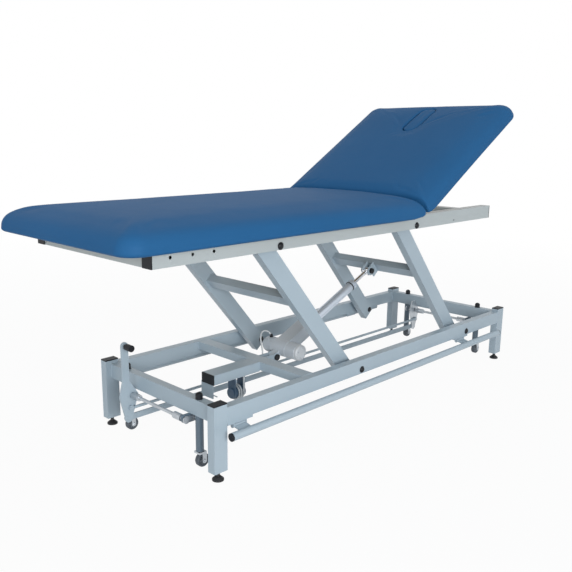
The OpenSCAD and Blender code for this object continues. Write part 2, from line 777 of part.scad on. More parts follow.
module seat_board() at_origin() color(timber) difference() {
    board(seat_tip + board_tip_gap, seat_end - board_end_gap, upper_top);
    hinge_notches();
}

module seat_cushion() at_origin() color(vinyl) difference() {
    cushion_form(seat_tip, seat_end, upper_top);
    hinge_notches();
    rail_room();
}

// The head section is drawn flat and mirrored about the hinge, then tilted
head_tip = head_end + head_l;
head_low = upper_top + head_raise;
slot_x = head_tip - slot_at;
module head_mirror() translate([hinge_x, 0, 0]) mirror([1, 0, 0]) translate([-hinge_x, 0, 0]) children();

// Outline with round ends, about the middle of the face slot
module slot_outline(r) {
    run = slot_l / 2 - slot_w / 2;
    for (s = [-1, 1]) translate([s * run, 0]) circle(r = r);
    translate([-run, -r]) square([run * 2, r * 2]);
}

module face_slot() translate([slot_x, 0, head_low - cut])
    linear_extrude(cushion_h * 1.5) slot_outline(slot_w / 2);

module head_board() at_origin() color(timber) head_frame() difference() {
    head_mirror() board(2 * hinge_x - head_tip + board_tip_gap, seat_end - board_end_gap, head_low);
    hinge_notches();
    face_slot();
}

module head_cushion() at_origin() color(vinyl) head_frame() difference() {
    head_mirror() cushion_form(2 * hinge_x - head_tip, seat_end, head_low);
    hinge_notches();
    face_slot();
    rail_room();
}

// Padded plug that fills the face slot, follows the cushion's crown and lifts out
module face_plug() at_origin() color(vinyl) head_frame() {
    plug_under = 6;
    crown = 1.5;
    side = 0.6;
    z0 = head_low + plug_under;
    z1 = head_low - cushion_tuck + cushion_h - crown;
    intersection() {
        translate([slot_x, 0, z0]) {
            linear_extrude(z1 - z0 - crown * 2) slot_outline(slot_w / 2 - side);
            linear_extrude(z1 - z0) slot_outline(slot_w / 2 - side - crown * 2);
        }
        translate([0, 0, -crown]) head_mirror() cushion_form(2 * hinge_x - head_tip, seat_end, head_low);
    }
}

// Gas spring, drawn along X from its lower pin at rest
module gas_frame() translate([gas_pin[0], 0, gas_pin[1]]) rotate([0, -gas_angle, 0]) children();

module gas_cylinder() at_origin() color(black) gas_frame() difference() {
    gland = 15;
    union() {
        round_x(0, 0, gas_neck, gas_cyl_l, gas_cyl_r);
        block([0, -gas_eye_r / 2, -gas_eye_r / 2], [gas_neck, gas_eye_r / 2, gas_eye_r / 2]);
        round_y(0, 0, -gas_eye_r / 2, gas_eye_r / 2, gas_eye_r * 0.9);
    }
    round_y(0, 0, -gas_eye_r, gas_eye_r, pin_r + fit);
    round_x(0, 0, gas_neck + wall, gas_cyl_l - gland, gas_bore_r);
    round_x(0, 0, gas_cyl_l - gland - cut, gas_cyl_l + cut, gas_rod_r + fit);
}

module gas_rod() at_origin() color(shiny) gas_frame() difference() {
    union() {
        round_x(0, 0, gas_l - gas_rod_l, gas_l - gas_eye_r, gas_rod_r);
        round_x(0, 0, gas_l - gas_rod_l, gas_l - gas_rod_l + gas_eye_r, gas_bore_r - fit);
        block([gas_l - gas_eye_r * 2, -gas_eye_r / 2, -gas_eye_r / 2],
              [gas_l, gas_eye_r / 2, gas_eye_r / 2]);
        round_y(gas_l, 0, -gas_eye_r / 2, gas_eye_r / 2, gas_eye_r * 0.9);
    }
    round_y(gas_l, 0, -gas_eye_r, gas_eye_r, pin_r + fit);
}

// Actuator, drawn along X from its rear pin

gear_in = 29;
near_l = 46;
module actuator_gearbox() at_origin() color(pale) act_frame() difference() {
    side = 30;
    low = 22;
    high = 26;
    union() {
        round_y(motor_at, 0, -gear_half, gear_half, motor_r + cut);
        block([motor_at, -side, -low], [gear_l - act_tube_r, side, high]);
        block([gear_l - act_tube_r * 2, -side * 0.75, -low * 0.85], [gear_l, side * 0.75, high * 0.85]);
        block([0, -eye_half, -eye_half], [motor_at, eye_half, eye_half]);
        round_y(0, 0, -eye_half, eye_half, eye_half);
    }
    round_y(0, 0, -eye_half - cut, eye_half + cut, eye_pin_r + fit);
    round_x(0, 0, gear_l - gear_in, gear_l + cut, act_tube_r + fit);
}

module actuator_motor() at_origin() color(pale) act_frame() {
    dome_y = motor_l / 2 - motor_r;
    round_y(motor_at, 0, gear_half, dome_y, motor_r);
    translate([motor_at, dome_y, 0]) intersection() {
        sphere(r = motor_r);
        rotate([-90, 0, 0]) cylinder(r = motor_r, h = motor_r);
    }
    round_y(motor_at, 0, -gear_half - near_l, -gear_half, motor_r);
}

module motor_end_cap() at_origin() color("whitesmoke") act_frame() {
    y = -gear_half - near_l;
    rim = 4;
    round_y(motor_at, 0, -motor_l / 2 + rim, y, motor_r - cut);
    translate([motor_at, -motor_l / 2 + rim, 0]) rotate([90, 0, 0])
        cylinder(r1 = motor_r - cut, r2 = motor_r - cut - rim, h = rim);
}

act_gland = 15;
module actuator_tube() at_origin() color(pale) act_frame() difference() {
    front = act_l - rod_show;
    collar = 13;
    union() {
        round_x(0, 0, gear_l - gear_in + gap, front, act_tube_r);
        round_x(0, 0, front - collar, front, act_tube_r + wall);
    }
    round_x(0, 0, gear_l, front - act_gland, act_tube_r - wall * 2);
    round_x(0, 0, front - act_gland - cut, front + cut, act_rod_r + fit);
}

module actuator_rod() at_origin() color(shiny) act_frame() {
    collar = 8;
    round_x(0, 0, gear_l + rod_show * 1.2, act_l - eye_half, act_rod_r);
    round_x(0, 0, act_l - eye_half - collar, act_l - eye_half, act_rod_r * 1.4);
    block([act_l - eye_half * 1.5, -eye_half, -eye_half * 0.9], [act_l, eye_half, eye_half * 0.9]);
    round_y(act_l, 0, -eye_half, eye_half, eye_half * 1.1);
}

// Foot bars

module foot_bar() {
    reach = norm([bar_y - bar_pin_y, bar_z - bar_pin_z]);
    slope = atan2(bar_pin_z - bar_z, bar_y - bar_pin_y);
    difference() {
        round_x(bar_y, bar_z, bar_x0, bar_x0 + bar_l, bar_r);
        round_x(bar_y, bar_z, bar_x0 - cut, bar_x0 + bar_l + cut, bar_r - wall);
    }
    for (x = hanger_xs) difference() {
        union() {
            translate([x - hanger_w / 2, bar_pin_y, bar_pin_z]) rotate([-slope, 0, 0])
                translate([0, 0, -hanger_t / 2]) cube([hanger_w, reach - bar_r + wall / 2, hanger_t]);
            round_x(bar_pin_y, bar_pin_z, x - hanger_w / 2, x + hanger_w / 2, knuckle_r);
        }
        round_x(bar_pin_y, bar_pin_z, x - hanger_w, x + hanger_w, pin_r + fit);
    }
}

module foot_bar_caps() for (x = [bar_x0 - cap_t, bar_x0 + bar_l])
    round_x(bar_y, bar_z, x, x + cap_t, bar_r);

module far_foot_bar() at_origin() color(paint) foot_bar();
module far_foot_bar_caps() at_origin() color(black) foot_bar_caps();
module near_foot_bar() at_origin() color(paint) mirror([0, 1, 0]) foot_bar();
module near_foot_bar_caps() at_origin() color(black) mirror([0, 1, 0]) foot_bar_caps();

// Castors: side is -1 near and 1 far

module castor_stem(x, side) {
    round_z(x, side * castor_y, yoke_z + yoke_t + gap, stem_top, stem_r);
    round_z(x, side * castor_y, yoke_z + cut / 2, yoke_z + yoke_t + gap, spigot_r);
    y = [side * castor_y, side * crank_y - side * crank_t / 2];
    round_y(x, shaft_z, min(y), max(y), pin_r);
}

module castor_yoke(x, side) translate([x, side * castor_y, 0]) {
    cheek_t = 3;
    cheek_room = 1.5;
    cheek_y = wheel_w / 2 + cheek_room;
    cheek_r = 8;
    difference() {
        union() {
            block([-yoke_t * 2, -cheek_y - cheek_t, yoke_z],
                  [trail + cheek_r, cheek_y + cheek_t, yoke_z + yoke_t]);
            both_sides() {
                block([trail - cheek_r, cheek_y, wheel_z], [trail + cheek_r, cheek_y + cheek_t, yoke_z]);
                round_y(trail, wheel_z, cheek_y, cheek_y + cheek_t, cheek_r);
            }
        }
        round_z(0, 0, yoke_z - cut, yoke_z + yoke_t + cut, spigot_r + fit);
    }
    round_y(trail, wheel_z, -cheek_y - cheek_t, cheek_y + cheek_t, axle_r);
}

module castor_wheel(x, side)
    translate([x + trail, side * castor_y, wheel_z]) rotate([90, 0, 0]) difference() {
        edge = 3;
        union() {
            cylinder(r = wheel_r, h = wheel_w - edge * 2, center = true);
            for (s = [0, 1]) mirror([0, 0, s]) translate([0, 0, wheel_w / 2 - edge])
                cylinder(r1 = wheel_r, r2 = wheel_r - edge, h = edge);
        }
        cylinder(r = axle_r + fit, h = wheel_w + cut, center = true);
    }

module stem_foot_near() at_origin() color(shiny) castor_stem(-stem_x, -1);
module stem_foot_far() at_origin() color(shiny) castor_stem(-stem_x, 1);
module stem_head_near() at_origin() color(shiny) castor_stem(stem_x, -1);
module stem_head_far() at_origin() color(shiny) castor_stem(stem_x, 1);
module yoke_foot_near() at_origin() color(paint_shade) castor_yoke(-stem_x, -1);
module yoke_foot_far() at_origin() color(paint_shade) castor_yoke(-stem_x, 1);
module yoke_head_near() at_origin() color(paint_shade) castor_yoke(stem_x, -1);
module yoke_head_far() at_origin() color(paint_shade) castor_yoke(stem_x, 1);
module wheel_foot_near() at_origin() color(black) castor_wheel(-stem_x, -1);
module wheel_foot_far() at_origin() color(black) castor_wheel(-stem_x, 1);
module wheel_head_near() at_origin() color(black) castor_wheel(stem_x, -1);
module wheel_head_far() at_origin() color(black) castor_wheel(stem_x, 1);

// Cross shafts, foot lever and links of the castor lift

// Shaft across the table with two collars, and a slotted crank at each end that drives the stem's pin
module cross_shaft(x) {
    collar_r = 11;
    collar_l = 35;
    collar_room = 10;
    near_y = -146;
    round_y(x, shaft_z, -crank_y - crank_t / 2, crank_y + crank_t / 2, shaft_r);
    round_y(x, shaft_z, lever_y - collar_room - collar_l, lever_y - collar_room, collar_r);
    round_y(x, shaft_z, near_y, near_y + collar_l, collar_r);
    for (s = [-1, 1]) crank(x, s * crank_y - crank_t / 2);
}

module crank(x, y0) difference() {
    half = bolt_cap_r * 0.8;
    slot_r = pin_r + crank_slack;
    slot_in = x + crank_l - pin_r / 4;
    slot_out = x + crank_l + pin_r * 1.25;
    tip = x + crank_l + pin_r * 1.5;
    union() {
        round_y(x, shaft_z, y0, y0 + crank_t, bolt_cap_r);
        block([x, y0, shaft_z - half], [tip, y0 + crank_t, shaft_z + half]);
        round_y(tip, shaft_z, y0, y0 + crank_t, half);
    }
    for (end = [slot_in, slot_out]) round_y(end, shaft_z, y0 - cut, y0 + crank_t + cut, slot_r);
    block([slot_in, y0 - cut, shaft_z - slot_r], [slot_out, y0 + crank_t + cut, shaft_z + slot_r]);
}

// Bell crank plate with the pins of both links
module bell_crank(x, shank) {
    plate_r = 14;
    difference() {
        translate([x, lever_y + lever_t / 2, shaft_z]) rotate([90, 0, 0]) linear_extrude(lever_t) {
            polygon([[-lever_set - lever_w / 2, plate_r * 3.5], [-lever_set + lever_w / 2, plate_r * 3.5],
                     [plate_r * 1.7, 0], [-crank_set + plate_r * 0.9, -crank_drop],
                     [-crank_set - plate_r * 0.9, -crank_drop], [-plate_r * 3.4, 0]]);
            translate([-crank_set, -crank_drop]) circle(r = plate_r);
            if (shank) {
                translate([-lever_set - lever_w / 2, 0]) square([lever_w, lever_h - lever_w / 2]);
                translate([-lever_set, lever_h - lever_w / 2]) circle(r = lever_w / 2);
            }
        }
        round_y(x, shaft_z, lever_y - lever_t, lever_y + lever_t, shaft_r + fit);
    }
    round_y(x - crank_set, shaft_z - crank_drop, lever_y + lever_t / 2, lever_y + lever_t * 2, link_pin_r);
    round_y(x - rod_set, shaft_z - rod_drop, lever_y - lever_t * 2, lever_y - lever_t / 2, link_pin_r);
}

module foot_shaft() at_origin() color(shiny) cross_shaft(foot_shaft_x);
module foot_lever() at_origin() color(paint_shade) bell_crank(foot_shaft_x, true);
module head_shaft() at_origin() color(shiny) {
    cross_shaft(head_shaft_x);
    bell_crank(head_shaft_x, false);
}

module lever_knob() at_origin() color(black) {
    neck_l = 12;
    neck_r = 5;
    knob_l = 28;
    knob_r = 11;
    x = foot_shaft_x - lever_set;
    z = shaft_z + lever_h - lever_w / 2;
    y = lever_y - lever_t / 2;
    round_y(x, z, y - neck_l, y, neck_r);
    round_y(x, z, y - neck_l - knob_l, y - neck_l, knob_r);
}

module link_bar() at_origin() color(paint) {
    half = 10;
    y = lever_y + lever_t / 2 + gap;
    z = shaft_z - crank_drop;
    pins = [foot_shaft_x - crank_set, head_shaft_x - crank_set];
    difference() {
        union() {
            block([pins[0], y, z - half], [pins[1], y + lever_t, z + half]);
            for (x = pins) round_y(x, z, y, y + lever_t, half * 1.2);
        }
        for (x = pins) round_y(x, z, y - cut, y + lever_t + cut, link_pin_r + fit);
    }
}

module link_rod() at_origin() color(paint) {
    r = 5;
    eye_r = 9;
    y = lever_y - lever_t / 2 - gap - r;
    z = shaft_z - rod_drop;
    pins = [foot_shaft_x - rod_set, head_shaft_x - rod_set];
    difference() {
        union() {
            round_x(y, z, pins[0] + eye_r, pins[1] - eye_r, r);
            for (x = pins) round_y(x, z, y - r / 2, y + r / 2, eye_r);
            for (x = [pins[0], pins[1] - eye_r])
                block([x, y - r / 2, z - r / 2], [x + eye_r, y + r / 2, z + r / 2]);
        }
        for (x = pins) round_y(x, z, y - r, y + r, link_pin_r + fit);
    }
}

base_rails();
corner_posts();
base_caps();
levelling_feet();
base_cross_beam();
lower_pivot_bolts();
castor_guides();
shaft_bearings();
control_unit();
control_lead();
rear_clevis_pin();
foot_bar_pivots();
beam_lead();
foot_arms();
foot_crossbar();
head_arms();
head_crossbar();
front_eye_bolts();
upper_side_rails();
upper_cross_rails();
rail_end_caps();
upper_pivot_bolts();
seat_board();
seat_cushion();
frame_hinge_brackets();
rest_buffers();
head_board();
head_cushion();
head_hinge_brackets();
face_plug();
gas_cylinder();
gas_rod();
actuator_tube();
actuator_gearbox();
actuator_motor();
motor_end_cap();
motor_lead();
actuator_rod();
near_foot_bar();
near_foot_bar_caps();
far_foot_bar();
far_foot_bar_caps();
stem_foot_near();
yoke_foot_near();
wheel_foot_near();
stem_foot_far();
yoke_foot_far();
wheel_foot_far();
stem_head_near();
yoke_head_near();
wheel_head_near();
stem_head_far();
yoke_head_far();
wheel_head_far();
foot_shaft();
foot_lever();
lever_knob();
head_shaft();
link_bar();
link_rod();
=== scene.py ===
import json
import math
import bmesh
import bpy
from mathutils import Matrix, Vector


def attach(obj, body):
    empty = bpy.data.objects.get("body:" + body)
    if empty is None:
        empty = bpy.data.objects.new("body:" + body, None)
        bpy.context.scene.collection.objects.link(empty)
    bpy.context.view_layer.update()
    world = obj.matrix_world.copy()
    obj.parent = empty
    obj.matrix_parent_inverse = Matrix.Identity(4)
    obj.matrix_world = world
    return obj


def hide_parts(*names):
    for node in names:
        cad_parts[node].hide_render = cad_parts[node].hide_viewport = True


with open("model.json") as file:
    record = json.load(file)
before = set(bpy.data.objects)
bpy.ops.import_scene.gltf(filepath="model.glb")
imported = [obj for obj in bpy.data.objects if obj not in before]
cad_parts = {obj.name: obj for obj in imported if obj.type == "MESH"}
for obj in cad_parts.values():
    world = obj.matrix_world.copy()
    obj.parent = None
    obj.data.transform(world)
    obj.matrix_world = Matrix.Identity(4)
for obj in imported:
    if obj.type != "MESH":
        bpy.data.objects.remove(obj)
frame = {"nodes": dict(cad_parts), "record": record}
nodes = frame["nodes"]
for old in list(bpy.data.materials):
    bpy.data.materials.remove(old)
scene = bpy.context.scene
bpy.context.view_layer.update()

# Design sizes in millimetres, the same as in the CAD source.
# x = 0 is the middle of the base and z = 0 the floor; ROW turns such a place into metres in the frame.

MID_X = -155.0
MM = Matrix.Scale(0.001, 4)
ROW = MM @ Matrix.Translation((-MID_X, 0, 0))
SIDES = (-1, 1)

# Base frame, with the cross-beam, the stub beam, the control unit and the castors
BASE_HALF, BASE_SIDE, POST_L = 860.0, 300.0, 50.0
RAIL_UNDER, RAIL_TOP, RAIL_W = 175.0, 225.0, 30.0
END_RAIL_OUT = BASE_HALF - 20.0
BEAM_FOOT_X, BEAM_HEAD_X, BEAM_T = -455.0, -405.0, 30.0
STUB_Y, STUB_W, STUB_UNDER = -38.0, 60.0, RAIL_TOP - 34.0
UNIT_X, UNIT_Z, UNIT_R = -562.0, 130.0, 20.0
CASTOR_X, CASTOR_Y, TRAIL, WHEEL_Z = 825.0, 190.0, 8.0, 26.0

# Lift
ARM_REST, ARM_L, PIVOT_SPAN = math.radians(49.2), 640.0, 715.0
LOWER_Z = 190.0
UPPER_Z = LOWER_Z + ARM_L * math.sin(ARM_REST)
HEAD_X = 537.0
FOOT_X = HEAD_X - PIVOT_SPAN
HEAD_TOP_X = HEAD_X - ARM_L * math.cos(ARM_REST)
FOOT_TOP_X = HEAD_TOP_X - PIVOT_SPAN
ARM_INNER_Y = 210.0
CROSSBAR_X, CROSSBAR_Z = (360.0, 400.0), (-1.0, 29.0)
BOLT_R, BOLT_OUT, BOLT_IN = 6, BASE_SIDE, ARM_INNER_Y - 0.3

# Upper frame and hinge
UPPER_UNDER, UPPER_TOP, UPPER_INNER_Y = UPPER_Z - 12.0, UPPER_Z + 38.0, 260.0
CROSS_RAIL_XS, CROSS_RAIL_W = (-1056, -239, 28, 440), 40
HINGE_X, HINGE_Z, TILT = 98.0, UPPER_Z + 63.5, math.radians(31.0)
PLATE_Y = UPPER_INNER_Y - 6.0

# Cushions, their boards' recess and the face slot
HEAD_LOW = UPPER_TOP + 4.0
CUSHION_W, CUSHION_H, TUCK, WRAP = 720.0, 82.0, 6.5, 3
SEAT_END = HINGE_X - 3.0
SEAT_TIP = SEAT_END - 1265.0
HEAD_TIP = HINGE_X + 3.0 + 720.0
CORNER_R, END_ROLL, END_ROLL_SHARE, SIDE_DRAW = 60.0, 14.0, 0.16, 3
RECESS_IN, RECESS_UP = 30.5, 15.6
SLOT_L, SLOT_W, SLOT_X = 205.0, 72.0, HINGE_X + 560.0
SLOT_RUN = (SLOT_L - SLOT_W) / 2
SLOT_ROOM = 0.6

# Actuator: its pivots in the XZ plane, the motor's place along it, its housing and its outer tube
EYE_ALONG, EYE_OFF = 396, 61
EYE = (HEAD_X - EYE_ALONG * math.cos(ARM_REST) - EYE_OFF * math.sin(ARM_REST),
       LOWER_Z + EYE_ALONG * math.sin(ARM_REST) - EYE_OFF * math.cos(ARM_REST))
REAR = (-320.0, 200.0)
ACT_ANGLE = math.atan2(EYE[1] - REAR[1], EYE[0] - REAR[0])
ACT_L = math.hypot(EYE[1] - REAR[1], EYE[0] - REAR[0])
MOTOR_AT, HOUSING_SIDE = 54, 30.0
TUBE_START, TUBE_FRONT = 240, ACT_L - 106.0

# Leads: the points of their routes
LEAD_R, LEAD_X, LEAD_PITCH, LEAD_LOOPS, LEAD_STEPS = 3.0, UNIT_X + 12.0, 10.0, 2, 24
LOOP_R = UNIT_R + LEAD_R + 1.0
LEAD_HIGH = STUB_UNDER - LEAD_R * 2
MOTOR_LEAD = [(-273, 58, 252.6), (-274, 60, 262), (-279, 67, 271), (-289, 73, 276), (-301, 75, 275),
              (-312, 72, 269), (-321, 66, 260), (-328, 58, 250), (-334, 50, 240), (-338, 43, 230),
              (-341, 37, 221), (-344, 32, 214), (-345, 31, 210), (-345, 31, 206)]
BEAM_LEAD = [(-345, 31, 203), (-345, 31, 198), (-347, 31, 192), (-351, 31, 188), (-357, 31, 185),
             (-364, 31, 184), (-371, 31, 186), (-377, 31, 190), (-383, 31, 196), (-389, 31, 202),
             (-396, 31, 206), (-400, 31, 207), (-405, 31, 207)]


def turn(angle):
    return Matrix.Rotation(angle, 4, "Y")


def move(x, y, z):
    return Matrix.Translation((x, y, z))


def facing(x, y, z, direction):
    """Matrix whose local Z points along direction from a point."""
    return move(x, y, z) @ Vector(direction).to_track_quat("Z", "Y").to_matrix().to_4x4()


# Frames in which the tilted pieces are drawn
HEAD = ROW @ move(HINGE_X, 0, HINGE_Z) @ turn(-TILT) @ move(-HINGE_X, 0, -HINGE_Z)
ACT = ROW @ move(REAR[0], 0, REAR[1]) @ turn(-ACT_ANGLE)
ARM_FOOT = ROW @ move(FOOT_X, 0, LOWER_Z) @ turn(math.pi + ARM_REST)
ARM_HEAD = ROW @ move(HEAD_X, 0, LOWER_Z) @ turn(math.pi + ARM_REST)

# Materials


def map_range(tree, value, low, high, to_low, to_high):
    node = tree.nodes.new("ShaderNodeMapRange")
    for socket, number in zip(node.inputs[1:5], (low, high, to_low, to_high)):
        socket.default_value = number
    tree.links.new(value, node.inputs[0])
    return node.outputs[0]


def ramp(tree, factor, low, high, colours):
    node = tree.nodes.new("ShaderNodeValToRGB")
    for element, position, colour in zip(node.color_ramp.elements, (low, high), colours):
        element.position = position
        element.color = (*colour, 1)
    tree.links.new(factor, node.inputs[0])
    return node.outputs[0]


def texture(tree, kind, scale, coords, detail=4.0):
    """Fine cells for leather grain, or noise."""
    if kind == "cells":
        node = tree.nodes.new("ShaderNodeTexVoronoi")
        node.feature = "DISTANCE_TO_EDGE"
        output = "Distance"
    else:
        node = tree.nodes.new("ShaderNodeTexNoise")
        node.inputs["Detail"].default_value = detail
        output = "Fac"
    node.inputs["Scale"].default_value = scale
    tree.links.new(coords, node.inputs["Vector"])
    return node.outputs[output]


def material(name, colour, rough, metallic=0.0, other=None, spread=0.12, patch=5.0, bumps=(),
             rough_spread=0.06, stretch=(1, 1, 1), turned=0.0, coat=0.0, specular=0.5):
    """Procedural material: colour varies over patches, roughness over finer ones, and bumps stack up."""
    m = bpy.data.materials.new(name)
    m.use_nodes = True
    tree = m.node_tree
    shader = tree.nodes["Principled BSDF"]
    shader.inputs["Metallic"].default_value = metallic
    shader.inputs["Coat Weight"].default_value = coat
    shader.inputs["Specular IOR Level"].default_value = specular
    where = tree.nodes.new("ShaderNodeTexCoord")
    mapping = tree.nodes.new("ShaderNodeMapping")
    mapping.inputs["Scale"].default_value = stretch
    mapping.inputs["Rotation"].default_value = (0, turned, 0)
    tree.links.new(where.outputs["Object"], mapping.inputs["Vector"])
    coords = mapping.outputs["Vector"]
    other = other or tuple(x * (1 - spread) for x in colour)
    patches = texture(tree, "noise", patch, coords)
    tree.links.new(ramp(tree, patches, 0.3, 0.7, (colour, other)), shader.inputs["Base Color"])
    finer = texture(tree, "noise", patch * 7, coords)
    roughness = map_range(tree, finer, 0.0, 1.0, rough - rough_spread, rough + rough_spread)
    tree.links.new(roughness, shader.inputs["Roughness"])
    normal = None
    for kind, scale, strength, depth in bumps:
        bump = tree.nodes.new("ShaderNodeBump")
        bump.inputs["Strength"].default_value = strength
        bump.inputs["Distance"].default_value = depth
        tree.links.new(texture(tree, kind, scale, coords, 2.0), bump.inputs["Height"])
        if normal:
            tree.links.new(normal, bump.inputs["Normal"])
        normal = bump.outputs[0]
    if normal:
        tree.links.new(normal, shader.inputs["Normal"])
    return m


def grain(scale, strength, depth):
    """One layer of fine noise for a material's bumps."""
    return (("noise", scale, strength, depth),)


PEEL = grain(420, 0.10, 0.0006) + grain(60, 0.05, 0.001)
LEATHER = (("cells", 480, 0.16, 0.0004),) + grain(900, 0.12, 0.0003) + grain(9, 0.10, 0.004)
INK = (0.005, 0.007, 0.011)


def paint(name, colour, other, rough=0.40, patch=4):
    """Powder coat with a slight orange peel."""
    return material(name, colour, rough, other=other, patch=patch, bumps=PEEL, coat=0.1)


def plywood(name, turned):
    """Birch plywood: long grain on its faces and thin plies in its edges."""
    return material(name, (0.56, 0.40, 0.24), 0.6, other=(0.44, 0.29, 0.16), patch=9, stretch=(1, 9, 60),
                    turned=turned, bumps=grain(60, 0.2, 0.0005), specular=0.3)


LOOKS = [
    paint("frame_paint", (0.39, 0.475, 0.54), (0.365, 0.45, 0.515)),
    paint("upper_paint", (0.44, 0.485, 0.495), (0.415, 0.46, 0.47)),
    # Darker paint of the brackets, darkened further as painted shade: the castor guides take it for the
    # shade they stand in under the rails
    paint("bracket_paint", (0.13, 0.18, 0.23), (0.11, 0.155, 0.20), rough=0.42, patch=9),
    material("black_plastic", INK, 0.50, specular=0.3, patch=30, bumps=grain(900, 0.25, 0.0003)),
    material("black_bolt", INK, 0.38, specular=0.3, patch=40, bumps=grain(700, 0.15, 0.0003)),
    material("black_rubber", (0.012, 0.013, 0.015), 0.62, patch=40, bumps=grain(500, 0.4, 0.0004)),
    material("cushion_vinyl", (0.018, 0.108, 0.262), 0.62, other=(0.015, 0.097, 0.240), patch=2.4,
             rough_spread=0.03, bumps=LEATHER, specular=0.14),
    material("unit_housing", (0.060, 0.115, 0.185), 0.42, patch=25, bumps=grain(900, 0.15, 0.0003)),
    material("pale_plastic", (0.52, 0.57, 0.62), 0.36, patch=20, spread=0.05,
             bumps=grain(1100, 0.10, 0.0002)),
    material("white_plastic", (0.60, 0.63, 0.66), 0.32, patch=20, spread=0.04,
             bumps=grain(1100, 0.10, 0.0002)),
    material("cable", (0.64, 0.67, 0.69), 0.42, patch=30, spread=0.08, bumps=grain(300, 0.1, 0.0003)),
    material("polished_rod", (0.80, 0.82, 0.85), 0.12, metallic=1.0, patch=60, spread=0.05,
             rough_spread=0.04, bumps=grain(800, 0.03, 0.0001)),
    material("zinc_steel", (0.56, 0.60, 0.64), 0.36, metallic=0.85, patch=25, spread=0.2,
             rough_spread=0.08, bumps=grain(350, 0.15, 0.0003)),
    material("gas_black", (0.013, 0.014, 0.016), 0.3, patch=20, bumps=grain(600, 0.08, 0.0002), coat=0.3),
    material("castor_tyre", (0.085, 0.10, 0.12), 0.58, patch=40, bumps=grain(450, 0.3, 0.0004)),
]
MATS = {m.name: m for m in LOOKS}
TUBE_SILVER = material("tube_silver", (0.62, 0.69, 0.78), 0.30, metallic=0.45, patch=12, spread=0.06,
                       stretch=(0.2, 1, 1), bumps=grain(500, 0.06, 0.0002), coat=0.2)
HUB_GREY = material("hub_grey", (0.28, 0.31, 0.34), 0.42, patch=30, bumps=grain(900, 0.12, 0.0002))
OWN_LOOKS = {"seat_board": plywood("seat_plywood", 0.0), "head_board": plywood("head_plywood", TILT),
             "actuator_tube": TUBE_SILVER}

slots = {s["node"]: s["material_slot"] for s in frame["record"]["subparts"]}
for n, o in nodes.items():
    o.data.materials.clear()
    o.data.materials.append(OWN_LOOKS[n] if n in OWN_LOOKS else MATS[slots[n]])

# Pieces


def placed(name, data):
    """New object in the scene."""
    o = bpy.data.objects.new(name, data)
    scene.collection.objects.link(o)
    return o


def mesh_of(name, verts, faces, matrix, merged):
    """Mesh with its normals outward; merged joins the points that coincide."""
    mesh = bpy.data.meshes.new(name)
    mesh.from_pydata([matrix @ Vector(v) for v in verts], [], faces)
    bm = bmesh.new()
    bm.from_mesh(mesh)
    if merged:
        bmesh.ops.remove_doubles(bm, verts=bm.verts, dist=1e-6)
    bmesh.ops.recalc_face_normals(bm, faces=bm.faces)
    bm.to_mesh(mesh)
    bm.free()
    return mesh


def piece(name, verts, faces, matrix, mat, body, slot=None, smooth=40.0):
    """Piece that rides on a body; its edges stay sharp above the angle smooth, in degrees."""
    mesh = mesh_of(name, verts, faces, matrix, True)
    mesh.materials.append(mat)
    mesh.shade_smooth()
    mesh.set_sharp_from_angle(angle=math.radians(smooth))
    o = placed(name, mesh)
    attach(o, body)
    return o


def join_parts(parts):
    verts, faces = [], []
    for part_verts, part_faces in parts:
        n = len(verts)
        verts += part_verts
        faces += [tuple(i + n for i in f) for f in part_faces]
    return verts, faces


def walls(rings, n, closed=False):
    """Faces between neighbouring rings of n points; closed joins the last ring to the first."""
    pairs = [(j, j + 1) for j in range(rings - 1)]
    if closed:
        pairs.append((rings - 1, 0))
    return [(a * n + k, a * n + (k + 1) % n, b * n + (k + 1) % n, b * n + k)
            for a, b in pairs for k in range(n)]


def lids(rings, n):
    """Faces that fill the first and the last of a stack of rings."""
    return [tuple(range(n))[::-1], tuple(range((rings - 1) * n, rings * n))]


def stack(rings):
    """Closed form through rings of points."""
    n = len(rings[0])
    return [p for ring in rings for p in ring], walls(len(rings), n) + lids(len(rings), n)


def lathe(profile, matrix, sides=40):
    """Profile points (radius, height) turned round local Z; an end with a radius is filled."""
    verts = []
    for r, h in profile:
        for k in range(sides):
            w = 2 * math.pi * k / sides
            verts.append(matrix @ Vector((r * math.cos(w), r * math.sin(w), h)))
    faces = walls(len(profile), sides)
    for (r, h), lid in zip((profile[0], profile[-1]), lids(len(profile), sides)):
        if r > 0:
            faces.append(lid)
    return verts, faces


def plate(corners, y0, y1, edge):
    """Plate in the XZ plane between y0 and y1 with small chamfers."""
    cx = sum(x for x, z in corners) / len(corners)
    cz = sum(z for x, z in corners) / len(corners)
    s = 1 - edge / max(math.hypot(x - cx, z - cz) for x, z in corners)
    rows = [(y0, s), (y0 + edge, 1), (y1 - edge, 1), (y1, s)]
    return stack([[Vector((cx + (x - cx) * k, y, cz + (z - cz) * k)) for x, z in corners] for y, k in rows])


def curve_points(points, steps):
    """Smooth curve through the points."""
    out = []
    last = len(points) - 1
    for i in range(last):
        p = [Vector(points[min(max(i + d, 0), last)]) for d in (-1, 0, 1, 2)]
        for k in range(steps):
            t = k / steps
            out.append(0.5 * (2 * p[1] + (p[2] - p[0]) * t
                              + (2 * p[0] - 5 * p[1] + 4 * p[2] - p[3]) * t * t
                              + (3 * p[1] - p[0] - 3 * p[2] + p[3]) * t ** 3))
    out.append(Vector(points[-1]))
    return out


